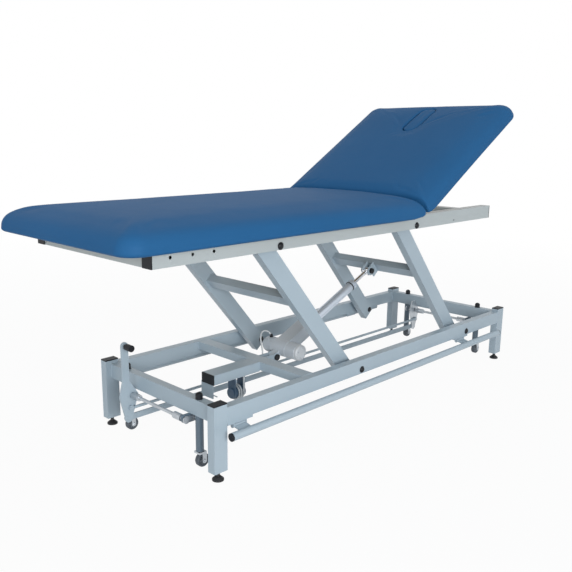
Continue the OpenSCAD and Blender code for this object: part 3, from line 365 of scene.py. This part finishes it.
def tube(points, radius, sides, closed=False):
    """Round tube along points; radius is a number, or a function of the share of the way."""
    n = len(points)
    verts = []
    normal = None
    for i, p in enumerate(points):
        before = points[(i - 1) % n] if closed or i > 0 else p
        after = points[(i + 1) % n] if closed or i < n - 1 else p
        along = (after - before).normalized()
        if normal is None:
            normal = along.orthogonal().normalized()
        normal = (normal - along * normal.dot(along)).normalized()
        side = along.cross(normal)
        r = radius(i / (n - 1)) if callable(radius) else radius
        for k in range(sides):
            w = 2 * math.pi * k / sides
            verts.append(p + r * (math.cos(w) * normal + math.sin(w) * side))
    return verts, walls(n, sides, closed) + ([] if closed else lids(n, sides))


# Upholstery

# Section of a cushion from its hem over its side to near its crown: distance in from the edge as a share
# of the half width, and height above the hem as a share of the cushion's height
SECTION = [(0.085, 0.010), (0.069, 0.008), (0.045, 0.006), (0.029, 0.012), (0.014, 0.035), (0.006, 0.09),
           (0.0015, 0.15), (0, 0.21), (0.002, 0.30), (0.009, 0.39), (0.019, 0.48), (0.034, 0.57),
           (0.056, 0.65), (0.086, 0.72), (0.12, 0.775), (0.17, 0.83), (0.235, 0.88), (0.31, 0.92),
           (0.42, 0.957), (0.54, 0.98), (0.68, 0.992), (0.84, 0.998)]
WIDEST = 7


def end_inset(inset):
    """Distance in from the hinge end for a row with a given inset."""
    return inset if inset < END_ROLL else END_ROLL + (inset - END_ROLL) * END_ROLL_SHARE


def arc(cx, cy, r, start, count):
    """Quarter circle of count points from the angle start, in degrees."""
    angles = [math.radians(start + 90 * k / (count - 1)) for k in range(count)]
    return [(cx + r * math.cos(w), cy + r * math.sin(w)) for w in angles]


def outline(x0, x1, half, inset):
    """Plan of a cushion row: rounded corners at its tip, drawn-in long sides, tight hinge corners."""
    r = max(CORNER_R - inset * 0.8, CORNER_R * 0.2)
    h = half - inset
    a, b = x0 + inset, x1 - end_inset(inset)
    e = END_ROLL / 2
    draw = max(SIDE_DRAW - inset * 0.1, 0)
    run, across, tip_run = 26, 20, 16
    side = [(a + r + (b - e - a - r) * k / run, h - draw * math.sin(math.pi * k / run))
            for k in range(1, run)]
    end = [(b, (h - e) * (2 * k / across - 1)) for k in range(1, across)]
    tip = [(a, (h - r) * (1 - 2 * k / tip_run)) for k in range(1, tip_run)]
    return (arc(a + r, -h + r, r, 180, 13) + [(x, -y) for x, y in side]
            + arc(b - e, -h + e, e, -90, 4) + end + arc(b - e, h - e, e, 0, 4)
            + side[::-1] + arc(a + r, h - r, r, 90, 13) + tip)


def cushion_shape(x0, x1, top):
    """Closed form of an upholstered pad: recess for its board, hanging hem, rounded side and crown."""
    half, low, high = CUSHION_W / 2 + GROWTH, top - TUCK, CUSHION_H + GROWTH
    x0 -= GROWTH
    rows = []

    def row(inset, z, floor_z):
        """Row at height z; at the hinge end it stays above floor_z."""
        rows.append([(x, y, max(z, floor_z) if x > x1 - END_ROLL * 2 else z)
                     for x, y in outline(x0, x1 + GROWTH * 0.4, half, inset)])
    row(RECESS_IN, top + RECESS_UP, top)
    row(RECESS_IN, top + WRAP, top)
    for s, h in SECTION:
        under_hem = s < 0.1 and h < 0.02
        row(min(s * half, RECESS_IN) if under_hem else s * half, low + h * high, top + WRAP)
    n, m = len(rows[0]), len(rows)
    mid = (x0 + x1) / 2
    verts = [p for r in rows for p in r] + [(mid, 0, top + RECESS_UP), (mid, 0, low + high)]
    faces = walls(m, n)
    faces += [(m * n, (k + 1) % n, k) for k in range(n)]
    faces += [(m * n + 1, (m - 1) * n + k, (m - 1) * n + (k + 1) % n) for k in range(n)]
    return verts, faces


def solid(verts, faces, matrix):
    """Plain solid that is cut with, or that a cover starts from."""
    return placed("solid", mesh_of("solid", verts, faces, matrix, False))


def block(a, b):
    """Box between two corners."""
    v = [(x, y, z) for x in (a[0], b[0]) for y in (a[1], b[1]) for z in (a[2], b[2])]
    return v, [(0, 1, 3, 2), (4, 6, 7, 5), (0, 4, 5, 1), (2, 3, 7, 6), (0, 2, 6, 4), (1, 5, 7, 3)]


def slot_ring(r, bends, steps=1):
    """Plan of the face slot: half circles of radius r with so many bends, sides of so many steps."""
    def half_circle(cx, start):
        angles = [math.pi * (k / bends + start) for k in range(bends + 1)]
        return [(cx + r * math.cos(w), r * math.sin(w)) for w in angles]
    shares = [1 - 2 * k / steps for k in range(1, steps)]
    return (half_circle(SLOT_X + SLOT_RUN, -0.5) + [(SLOT_X + SLOT_RUN * s, r) for s in shares]
            + half_circle(SLOT_X - SLOT_RUN, 0.5) + [(SLOT_X - SLOT_RUN * s, -r) for s in shares])


def apply_all(o):
    bpy.context.view_layer.update()
    mesh = bpy.data.meshes.new_from_object(o.evaluated_get(bpy.context.evaluated_depsgraph_get()))
    o.modifiers.clear()
    before = o.data
    o.data = mesh
    bpy.data.meshes.remove(before)


def cut(o, tools):
    for tool in tools:
        m = o.modifiers.new("cut", "BOOLEAN")
        m.operation = "DIFFERENCE"
        m.solver = "EXACT"
        m.object = tool
    apply_all(o)
    for tool in tools:
        bpy.data.objects.remove(tool)


def remesh(o, voxel, smooth):
    m = o.modifiers.new("voxels", "REMESH")
    m.mode = "VOXEL"
    m.voxel_size = voxel
    s = o.modifiers.new("smooth", "SMOOTH")
    s.factor = 0.5
    s.iterations = smooth
    apply_all(o)


def inflate(o, held_below, cap):
    """Cloth under pressure from inside, with its hem held; no point moves further than cap."""
    frames = 20
    start = [v.co.copy() for v in o.data.vertices]
    held = o.vertex_groups.new(name="held")
    held.add([v.index for v in o.data.vertices if v.co.z < held_below], 1.0, "REPLACE")
    m = o.modifiers.new("cloth", "CLOTH")
    cloth = m.settings
    cloth.quality = 6
    cloth.mass = 0.3
    cloth.use_pressure = True
    cloth.uniform_pressure_force = 4.0
    cloth.vertex_group_mass = "held"
    cloth.effector_weights.gravity = 0
    cloth.tension_stiffness = 30
    cloth.compression_stiffness = 30
    cloth.bending_stiffness = 2
    m.point_cache.frame_start, m.point_cache.frame_end = 1, frames
    for f in range(1, frames + 1):
        scene.frame_set(f)
    swollen = o.evaluated_get(bpy.context.evaluated_depsgraph_get())
    end = [v.co.copy() for v in swollen.data.vertices]
    o.modifiers.clear()
    scene.frame_set(1)
    for v, a, b in zip(o.data.vertices, start, end):
        d = b - a
        v.co = a + d * min(1.0, cap / max(d.length, 1e-9))
    o.vertex_groups.clear()


def upholster(name, node, matrix, shape, tools, body, voxel, cap, held_below, smooth=2):
    """Soft cover from a plain shape in millimetres; voxel and cap are in metres."""
    o = solid(*shape, Matrix.Identity(4))
    o.data.transform(MM)
    if tools:
        cut(o, tools)
    remesh(o, voxel, smooth)
    inflate(o, held_below / 1000, cap)
    o.name = o.data.name = name
    o.data.transform(matrix @ Matrix.Scale(1000, 4))
    s = o.modifiers.new("fine", "SUBSURF")
    s.levels = s.render_levels = 1
    apply_all(o)
    o.data.materials.clear()
    o.data.materials.append(MATS["cushion_vinyl"])
    o.data.shade_smooth()
    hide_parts(node)
    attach(o, body)


# Room in the covers' ends for the hinge plates at every tilt: half length, height and reach across
NOTCH_HALF, NOTCH_TOP = 16, HINGE_Z + 15
NOTCH_Y = (PLATE_Y - 0.3 - 5 - 5.5, UPPER_INNER_Y + 4)


def notch_tools():
    tools = []
    for s in SIDES:
        y0, y1 = sorted(s * y for y in NOTCH_Y)
        corners = (HINGE_X - NOTCH_HALF, y0, UPPER_UNDER), (HINGE_X + NOTCH_HALF, y1, NOTCH_TOP)
        tools.append(solid(*block(*corners), MM))
    return tools


def slot_tool():
    """Cutter of the face slot, with a little room round the loose plug."""
    ring = slot_ring(SLOT_W / 2 + SLOT_ROOM, 20)
    return solid(*stack([[(x, y, z) for x, y in ring] for z in (HEAD_LOW - 20, HEAD_LOW + 120)]), MM)


def head_shape():
    """The head cushion is drawn as a seat's and mirrored about the hinge."""
    flip = move(HINGE_X, 0, 0) @ Matrix.Scale(-1, 4, (1, 0, 0)) @ move(-HINGE_X, 0, 0)
    verts, faces = cushion_shape(2 * HINGE_X - HEAD_TIP, SEAT_END, HEAD_LOW)
    return [tuple(flip @ Vector(p)) for p in verts], faces


def crown_at(x):
    """Height of the head cushion's middle line above its hem, where its tip rolls off."""
    share = (HEAD_TIP - x) / (CUSHION_W / 2)
    for (s0, h0), (s1, h1) in zip(SECTION[WIDEST:], SECTION[WIDEST + 1:]):
        if share < s1:
            return CUSHION_H * (h0 + (h1 - h0) * (share - s0) / (s1 - s0))
    return CUSHION_H


def plug_shape():
    """Loose plug of the face slot: rolled edges, and its top a little below the cushion's crown."""
    low, high = HEAD_LOW + 6, HEAD_LOW - TUCK + CUSHION_H - 3.0
    profile = [(4.0, low), (0.6, low + 3), (0.6, high - 24), (0.6, high - 9), (1.4, high - 5),
               (3.6, high - 2), (8.0, high - 0.4), (16, high), (26, high)]
    follows = high - 12
    rings = []
    for inset, z in profile:
        ring = slot_ring(SLOT_W / 2 - SLOT_ROOM - inset, 24, 10)
        rings.append([(x, y, z - (CUSHION_H - crown_at(x) if z > follows else 0)) for x, y in ring])
    return stack(rings)


# The covers start a little larger where the remesh and the cloth run, which draw them in
GROWTH = 1.2
upholster("seat_cover", "seat_cushion", ROW, cushion_shape(SEAT_TIP, SEAT_END, UPPER_TOP), notch_tools(),
          "upper_frame", 0.007, 0.0035, UPPER_TOP + 5)
upholster("head_cover", "head_cushion", HEAD, head_shape(), notch_tools() + [slot_tool()],
          "head_section", 0.006, 0.0035, HEAD_LOW + 5)
upholster("plug_cover", "face_plug", HEAD, plug_shape(), [], "plug", 0.003, 0.0008, HEAD_LOW + 40, 3)

# Domed caps on the pivot bolts

DOME = [(0.0, 7.0), (3.2, 6.85), (6.2, 6.2), (8.6, 5.0), (10.2, 3.4), (11.0, 1.9), (11.2, 1.5), (12.0, 1.3),
        (12.0, 0.25), (11.6, 0.0)]


def bolt_set(name, node, z, xs, body):
    """Bolts through both side arms, each with a dome on its outer and its inner end."""
    parts = []
    for x in xs:
        for s in SIDES:
            parts.append(lathe(DOME, facing(x, s * BOLT_OUT, z, (0, s, 0))))
            parts.append(lathe(DOME, facing(x, s * BOLT_IN, z, (0, -s, 0))))
            shank = [(BOLT_R, 0), (BOLT_R, BOLT_OUT - BOLT_IN)]
            parts.append(lathe(shank, facing(x, s * BOLT_IN, z, (0, s, 0)), 24))
    o = piece(name, *join_parts(parts), ROW, MATS["black_bolt"], body)
    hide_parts(node)


bolt_set("lower_bolt_caps", "lower_pivot_bolts", LOWER_Z, (FOOT_X, HEAD_X), "base")
bolt_set("upper_bolt_caps", "upper_pivot_bolts", UPPER_Z, (FOOT_TOP_X, HEAD_TOP_X), "upper_frame")

# Castor wheels with a tyre, a dished hub and axle nuts


def both_halves(half, middle=()):
    """Profile of a wheel from the half above its middle plane."""
    return half + list(middle) + [(r, -h) for r, h in half[::-1]]


TYRE = both_halves([(14.5, 6.2), (15.4, 7.2), (17.6, 8.8), (19.4, 9.0), (20.9, 8.2), (21.8, 6.6),
                    (22.0, 4.4)])
HUB = both_halves([(3.1, 8.4), (6.2, 8.4), (7.0, 7.6), (7.6, 5.0), (10.5, 4.4), (13.2, 4.8), (14.4, 6.3)],
                  [(14.6, 0.0)])
SPOKES, SPOKE = 6, plate([(7.2, -0.9), (13.4, -0.9), (13.4, 0.9), (7.2, 0.9)], 4.2, 6.4, 0.3)
NUT, NUT_Y = [(0.0, 2.6), (4.2, 2.6), (5.2, 2.0), (5.2, 0.0)], 13.5


def castor(name, x, y):
    """Wheel and axle nuts of one castor, round its axle's middle at x and y."""
    at = facing(x, y, WHEEL_Z, (0, 1, 0))
    tyre = piece("tyre_" + name, *lathe(TYRE, at), ROW, MATS["castor_tyre"], "wheel_" + name + "_roll")
    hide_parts("wheel_" + name)
    parts = [lathe(HUB, at)]
    for k in range(SPOKES):
        turned = at @ Matrix.Rotation(2 * math.pi * k / SPOKES, 4, "Z")
        for s in SIDES:
            parts.append(([turned @ Vector((v[0], v[2], s * v[1])) for v in SPOKE[0]], SPOKE[1]))
    piece("hub_" + name, *join_parts(parts), ROW, HUB_GREY, "wheel_" + name + "_roll", "castor_tyre")
    nuts = [lathe(NUT, facing(x, y + s * NUT_Y, WHEEL_Z, (0, s, 0)), 6) for s in SIDES]
    piece("axle_nuts_" + name, *join_parts(nuts), ROW, MATS["zinc_steel"], "yoke_" + name + "_swivel",
          smooth=20)


for end, stem_x in (("foot", -CASTOR_X), ("head", CASTOR_X)):
    for side, stem_y in (("near", -CASTOR_Y), ("far", CASTOR_Y)):
        castor(end + "_" + side, stem_x + TRAIL, stem_y)

# Leads


def lead(name, node, route, body, steps):
    pts = [ROW @ p for p in curve_points(route, steps)]
    o = piece(name, *tube(pts, LEAD_R / 1000, 14), Matrix.Identity(4), MATS["cable"], body)
    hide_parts(node)


def control_route():
    """Two and a half turns beside the control unit, with both ends straight up into the stub beam."""
    turns = []
    for k in range(int(LEAD_STEPS * (LEAD_LOOPS + 0.5)) + 1):
        w = 2 * math.pi * k / LEAD_STEPS
        turns.append((LEAD_X + LEAD_PITCH * k / LEAD_STEPS, STUB_Y + LOOP_R * math.cos(w),
                      UNIT_Z - LOOP_R * math.sin(w)))
    x, y = turns[-1][:2]
    return ([(LEAD_X, STUB_Y + LOOP_R, STUB_UNDER), (LEAD_X, STUB_Y + LOOP_R, LEAD_HIGH)] + turns
            + [(x, y, LEAD_HIGH), (x, y, STUB_UNDER)])


lead("control_lead_cover", "control_lead", control_route(), "base", 3)
lead("motor_lead_cover", "motor_lead", MOTOR_LEAD, "actuator", 5)
lead("beam_lead_cover", "beam_lead", BEAM_LEAD, "base", 5)

# Welds round the tubes' joints: how far a bead lies inside the tube's edges and off the face it meets

WELD_IN, WELD_OFF = 0.4, 0.6


def bead(corners, radius=1.7):
    """Closed, slightly uneven weld bead round a rectangle of four corners."""
    pts = []
    for i, corner in enumerate(corners):
        a, b = Vector(corner), Vector(corners[(i + 1) % 4])
        n = max(4, int((b - a).length / 4))
        pts += [a + (b - a) * k / n for k in range(n)]
    phase = corners[0][0]
    waves = len(pts) * 1.9
    return tube(pts, lambda t: radius * (0.88 + 0.16 * math.sin(t * waves + phase)), 8, closed=True)


def inward(a, b):
    """Two edges of a tube, each moved in by the bead's inset."""
    return a + math.copysign(WELD_IN, b - a), b - math.copysign(WELD_IN, b - a)


def rect_y(x_edges, y, z_edges):
    (x0, x1), (z0, z1) = inward(*x_edges), inward(*z_edges)
    return [(x0, y, z0), (x1, y, z0), (x1, y, z1), (x0, y, z1)]


def rect_x(x, y_edges, z_edges):
    (y0, y1), (z0, z1) = inward(*y_edges), inward(*z_edges)
    return [(x, y0, z0), (x, y1, z0), (x, y1, z1), (x, y0, z1)]


def base_welds():
    """Beads of the cross-beam, of each post and end rail, and of the stub beam."""
    inner = BASE_SIDE - RAIL_W
    post_x = BASE_HALF - POST_L
    rail_z, beam_z = (RAIL_UNDER, RAIL_TOP), (RAIL_TOP - BEAM_T, RAIL_TOP)
    beads = []
    for s in SIDES:
        beads.append(bead(rect_y((BEAM_FOOT_X, BEAM_HEAD_X), s * (inner - WELD_OFF), beam_z)))
        for e in SIDES:
            end_rail_x = sorted((e * END_RAIL_OUT, e * (END_RAIL_OUT - RAIL_W)))
            beads.append(bead(rect_x(e * (post_x - WELD_OFF), (s * inner, s * BASE_SIDE), rail_z)))
            beads.append(bead(rect_y(end_rail_x, s * (inner - WELD_OFF), rail_z)))
    stub_y = (STUB_Y - STUB_W / 2, STUB_Y + STUB_W / 2)
    beads.append(bead(rect_x(BEAM_FOOT_X - WELD_OFF, stub_y, beam_z)))
    return join_parts(beads)


def upper_welds():
    """Beads of the upper cross rails, a little below the boards."""
    rail_z = (UPPER_UNDER, UPPER_TOP - 0.2)
    return join_parts([bead(rect_y((x, x + CROSS_RAIL_W), s * (UPPER_INNER_Y - WELD_OFF), rail_z), 1.5)
                       for x in CROSS_RAIL_XS for s in SIDES])


for name, matrix in (("foot", ARM_FOOT), ("head", ARM_HEAD)):
    crossbar = [bead(rect_y(CROSSBAR_X, s * (ARM_INNER_Y - WELD_OFF), CROSSBAR_Z)) for s in SIDES]
    piece(name + "_crossbar_welds", *join_parts(crossbar), matrix, MATS["frame_paint"], name + "_swing")
piece("base_welds", *base_welds(), ROW, MATS["frame_paint"], "base")
piece("upper_welds", *upper_welds(), ROW, MATS["upper_paint"], "upper_frame")

# Actuator housing: seams, ribs, screws and a cable gland


def motor_ring(profile, y):
    """Ring round the motor's axis."""
    return lathe(profile, facing(MOTOR_AT, y, 0, (0, 1, 0)), 64)


def motor_ribs():
    """Seams as (place across, radius), then five cooling ribs."""
    rings = [motor_ring([(r - 2, -1.2), (r, -0.9), (r + 0.4, 0), (r, 0.9), (r - 2, 1.2)], y)
             for y, r in ((-34.5, 31.6), (-80.5, 30.4), (34.5, 31.6))]
    first, pitch = 40, 4.2
    rings += [motor_ring([(29.5, -0.7), (30.7, -0.5), (30.7, 0.5), (29.5, 0.7)], first + k * pitch)
              for k in range(5)]
    return join_parts(rings)


def housing_screws():
    """Four screws in the motor's end cap and two in each side of the housing."""
    screw = [(0.0, 0.9), (1.2, 0.9), (1.3, 1.7), (2.4, 1.6), (3.1, 1.0), (3.1, 0.0)]
    cap_y, circle_r = -95.0, 19
    places = []
    for k in range(4):
        w = math.radians(45 + 90 * k)
        places.append(facing(MOTOR_AT + circle_r * math.cos(w), cap_y, circle_r * math.sin(w), (0, -1, 0)))
    places += [facing(x, s * HOUSING_SIDE, 0, (0, s, 0)) for x in (96, 206) for s in SIDES]
    return join_parts([lathe(screw, at, 18) for at in places])


def housing_ribs():
    """Two long ribs on each side of the housing, their ends sunk into it."""
    proud = HOUSING_SIDE + 0.3
    route = [(104, HOUSING_SIDE), (120, proud), (190, proud), (200, HOUSING_SIDE)]
    return join_parts([tube([Vector((x, s * y, z)) for x, y in route], 1.1, 8)
                       for z in (-16, 20) for s in SIDES])


def tube_rings():
    """Ring behind the tube's front collar and wiper seal round the rod."""
    collar, wiper = TUBE_FRONT - 17, TUBE_FRONT
    axis = facing(0, 0, 0, (1, 0, 0))
    ring = [(17.4, collar - 5), (19.9, collar - 4), (20.2, collar - 2.5), (19.9, collar - 1), (17.4, collar)]
    seal = [(8.3, wiper + 0.05), (12.8, wiper + 0.05), (13.4, wiper + 0.8), (12.6, wiper + 1.8),
            (8.3, wiper + 2.0)]
    return join_parts([lathe(ring, axis, 48), lathe(seal, axis, 40)])


def tube_beads():
    """Three beads along the outer tube, as (place across, height, radius)."""
    rows = ((0, 17.6, 1.3), (-12.4, -12.4, 1.1), (12.4, -12.4, 1.1))
    return join_parts([tube([Vector((x, y, z)) for x in (TUBE_START, TUBE_FRONT - 24)], r, 10)
                       for y, z, r in rows])


GLAND = [(3.2, 11.5), (4.2, 11.0), (5.0, 8.0), (5.4, 5.0), (6.8, 4.4), (6.8, 0.2), (5.0, -1.5)]
piece("motor_ribs", *motor_ribs(), ACT, MATS["pale_plastic"], "actuator")
piece("housing_screws", *housing_screws(), ACT, MATS["zinc_steel"], "actuator")
piece("housing_ribs", *housing_ribs(), ACT, MATS["pale_plastic"], "actuator")
piece("tube_rings", *tube_rings(), ACT, MATS["black_rubber"], "actuator")
piece("tube_beads", *tube_beads(), ACT, TUBE_SILVER, "actuator", "pale_plastic")
gland = lathe(GLAND, facing(*MOTOR_LEAD[0], (0, 0, 1)), 12)
piece("motor_gland", *gland, ROW, MATS["black_plastic"], "actuator")

# Small rounded edges at the foot bars' hangers; a modifier, so the CAD meshes stay
for n in ("near_foot_bar", "far_foot_bar"):
    edge = nodes[n].modifiers.new("edge", "BEVEL")
    edge.width = 0.0005
    edge.segments = 2
    edge.limit_method = "ANGLE"
    edge.angle_limit = math.radians(40)
    edge.use_clamp_overlap = True

# Floor and light: distances in metres at which the floor's shadow starts to fade and is gone, how white
# the floor looks at them, and the strength of the sky at the horizon and overhead

FADE_NEAR, FADE_FAR = 1.6, 5.0
WHITE_NEAR, WHITE_FAR = 0.95, 1.0
SKY_LOW, SKY_HIGH = 0.38, 0.66
FLOOR_HALF = 30


def math_node(tree, operation, *values):
    node = tree.nodes.new("ShaderNodeMath")
    node.operation = operation
    for socket, value in zip(node.inputs, values):
        tree.links.new(value, socket)
    return node.outputs[0]


def seen_directly(tree):
    """1 for rays from the camera and for those that metal or glass reflects or lets through."""
    path = tree.nodes.new("ShaderNodeLightPath")
    seen = math_node(tree, "MAXIMUM", path.outputs["Is Camera Ray"], path.outputs["Is Glossy Ray"])
    return math_node(tree, "MAXIMUM", seen, path.outputs["Is Transmission Ray"])


def mixed(tree, share, lit, white, out):
    """Join two shaders to the output, the white one by its share."""
    white.inputs["Color"].default_value = (1, 1, 1, 1)
    white.inputs["Strength"].default_value = 1.0
    mix = tree.nodes.new("ShaderNodeMixShader")
    tree.links.new(share, mix.inputs[0])
    tree.links.new(lit.outputs[0], mix.inputs[1])
    tree.links.new(white.outputs[0], mix.inputs[2])
    tree.links.new(mix.outputs[0], out.inputs[0])


def floor_material():
    """Mid grey floor that looks white where it is seen directly, with a soft shadow near the table."""
    m = bpy.data.materials.new("floor")
    m.use_nodes = True
    tree = m.node_tree
    tree.nodes.clear()
    out = tree.nodes.new("ShaderNodeOutputMaterial")
    diffuse = tree.nodes.new("ShaderNodeBsdfDiffuse")
    diffuse.inputs["Color"].default_value = (0.62, 0.63, 0.64, 1)
    where = tree.nodes.new("ShaderNodeTexCoord")
    distance = tree.nodes.new("ShaderNodeVectorMath")
    distance.operation = "LENGTH"
    tree.links.new(where.outputs["Object"], distance.inputs[0])
    white = map_range(tree, distance.outputs["Value"], FADE_NEAR, FADE_FAR, WHITE_NEAR, WHITE_FAR)
    share = math_node(tree, "MULTIPLY", seen_directly(tree), white)
    mixed(tree, share, diffuse, tree.nodes.new("ShaderNodeEmission"), out)
    return m


def studio():
    """White where it is seen directly; it lights the table more from above than from the sides."""
    world = bpy.data.worlds.new("studio")
    world.use_nodes = True
    tree = world.node_tree
    tree.nodes.clear()
    out = tree.nodes.new("ShaderNodeOutputWorld")
    sky = tree.nodes.new("ShaderNodeBackground")
    sky.inputs["Color"].default_value = (0.92, 0.97, 1.0, 1)
    direction = tree.nodes.new("ShaderNodeTexCoord")
    parts = tree.nodes.new("ShaderNodeSeparateXYZ")
    tree.links.new(direction.outputs["Generated"], parts.inputs[0])
    strength = map_range(tree, parts.outputs["Z"], 0.0, 0.8, SKY_LOW, SKY_HIGH)
    tree.links.new(strength, sky.inputs["Strength"])
    mixed(tree, seen_directly(tree), sky, tree.nodes.new("ShaderNodeBackground"), out)
    return world


def area(name, place, target, size, power, colour):
    """Softbox at a place, turned to a target."""
    light = bpy.data.lights.new(name, "AREA")
    light.shape = "RECTANGLE"
    light.size, light.size_y = size
    light.energy = power
    light.color = colour
    o = placed(name, light)
    o.location = place
    o.rotation_mode = "QUATERNION"
    o.rotation_quaternion = (Vector(target) - Vector(place)).to_track_quat("-Z", "Y")


corners = [(x * FLOOR_HALF, y * FLOOR_HALF, 0) for x, y in ((-1, -1), (1, -1), (1, 1), (-1, 1))]
floor = bpy.data.meshes.new("floor")
floor.from_pydata(corners, [], [(0, 1, 2, 3)])
floor.materials.append(floor_material())
placed("floor", floor)
scene.world = studio()
area("key", (-2.2, -4.4, 1.3), (0, 0, 0.45), (2.6, 1.6), 132, (1.0, 1.0, 1.0))
area("side", (-5.0, -1.0, 1.5), (0, 0, 0.5), (2.0, 1.6), 34, (0.96, 0.98, 1.0))

# Camera at the photograph's viewing angle: its place in millimetres and its angles, then the picture's
# side, the focal length and the middle of the view, all in the square picture's pixels

CAMERA_AT = (-2048.9, -1713.6, 993.9)
YAW, PITCH, ROLL = math.radians(45.394), math.radians(-12.911), math.radians(0.356)
PICTURE, FOCAL, LOOK_X, LOOK_Y = 572, 691.36, 266.2, 293.7
SENSOR = 36

forward = Vector((math.cos(PITCH) * math.cos(YAW), math.cos(PITCH) * math.sin(YAW), math.sin(PITCH)))
level = Vector((math.sin(YAW), -math.cos(YAW), 0))
upright = level.cross(forward)
right = level * math.cos(ROLL) + upright * math.sin(ROLL)
up = upright * math.cos(ROLL) - level * math.sin(ROLL)
camera = bpy.data.cameras.new("camera")
camera.sensor_width = SENSOR
camera.lens = FOCAL * SENSOR / PICTURE
camera.shift_x = (PICTURE / 2 - LOOK_X) / PICTURE
camera.shift_y = (LOOK_Y - PICTURE / 2) / PICTURE
camera.clip_start, camera.clip_end = 0.05, 200
stand = Matrix((right, up, -forward)).transposed().to_4x4()
stand.translation = ROW @ Vector(CAMERA_AT)
scene.camera = placed("camera", camera)
scene.camera.matrix_world = stand
scene.view_settings.view_transform = "Standard"
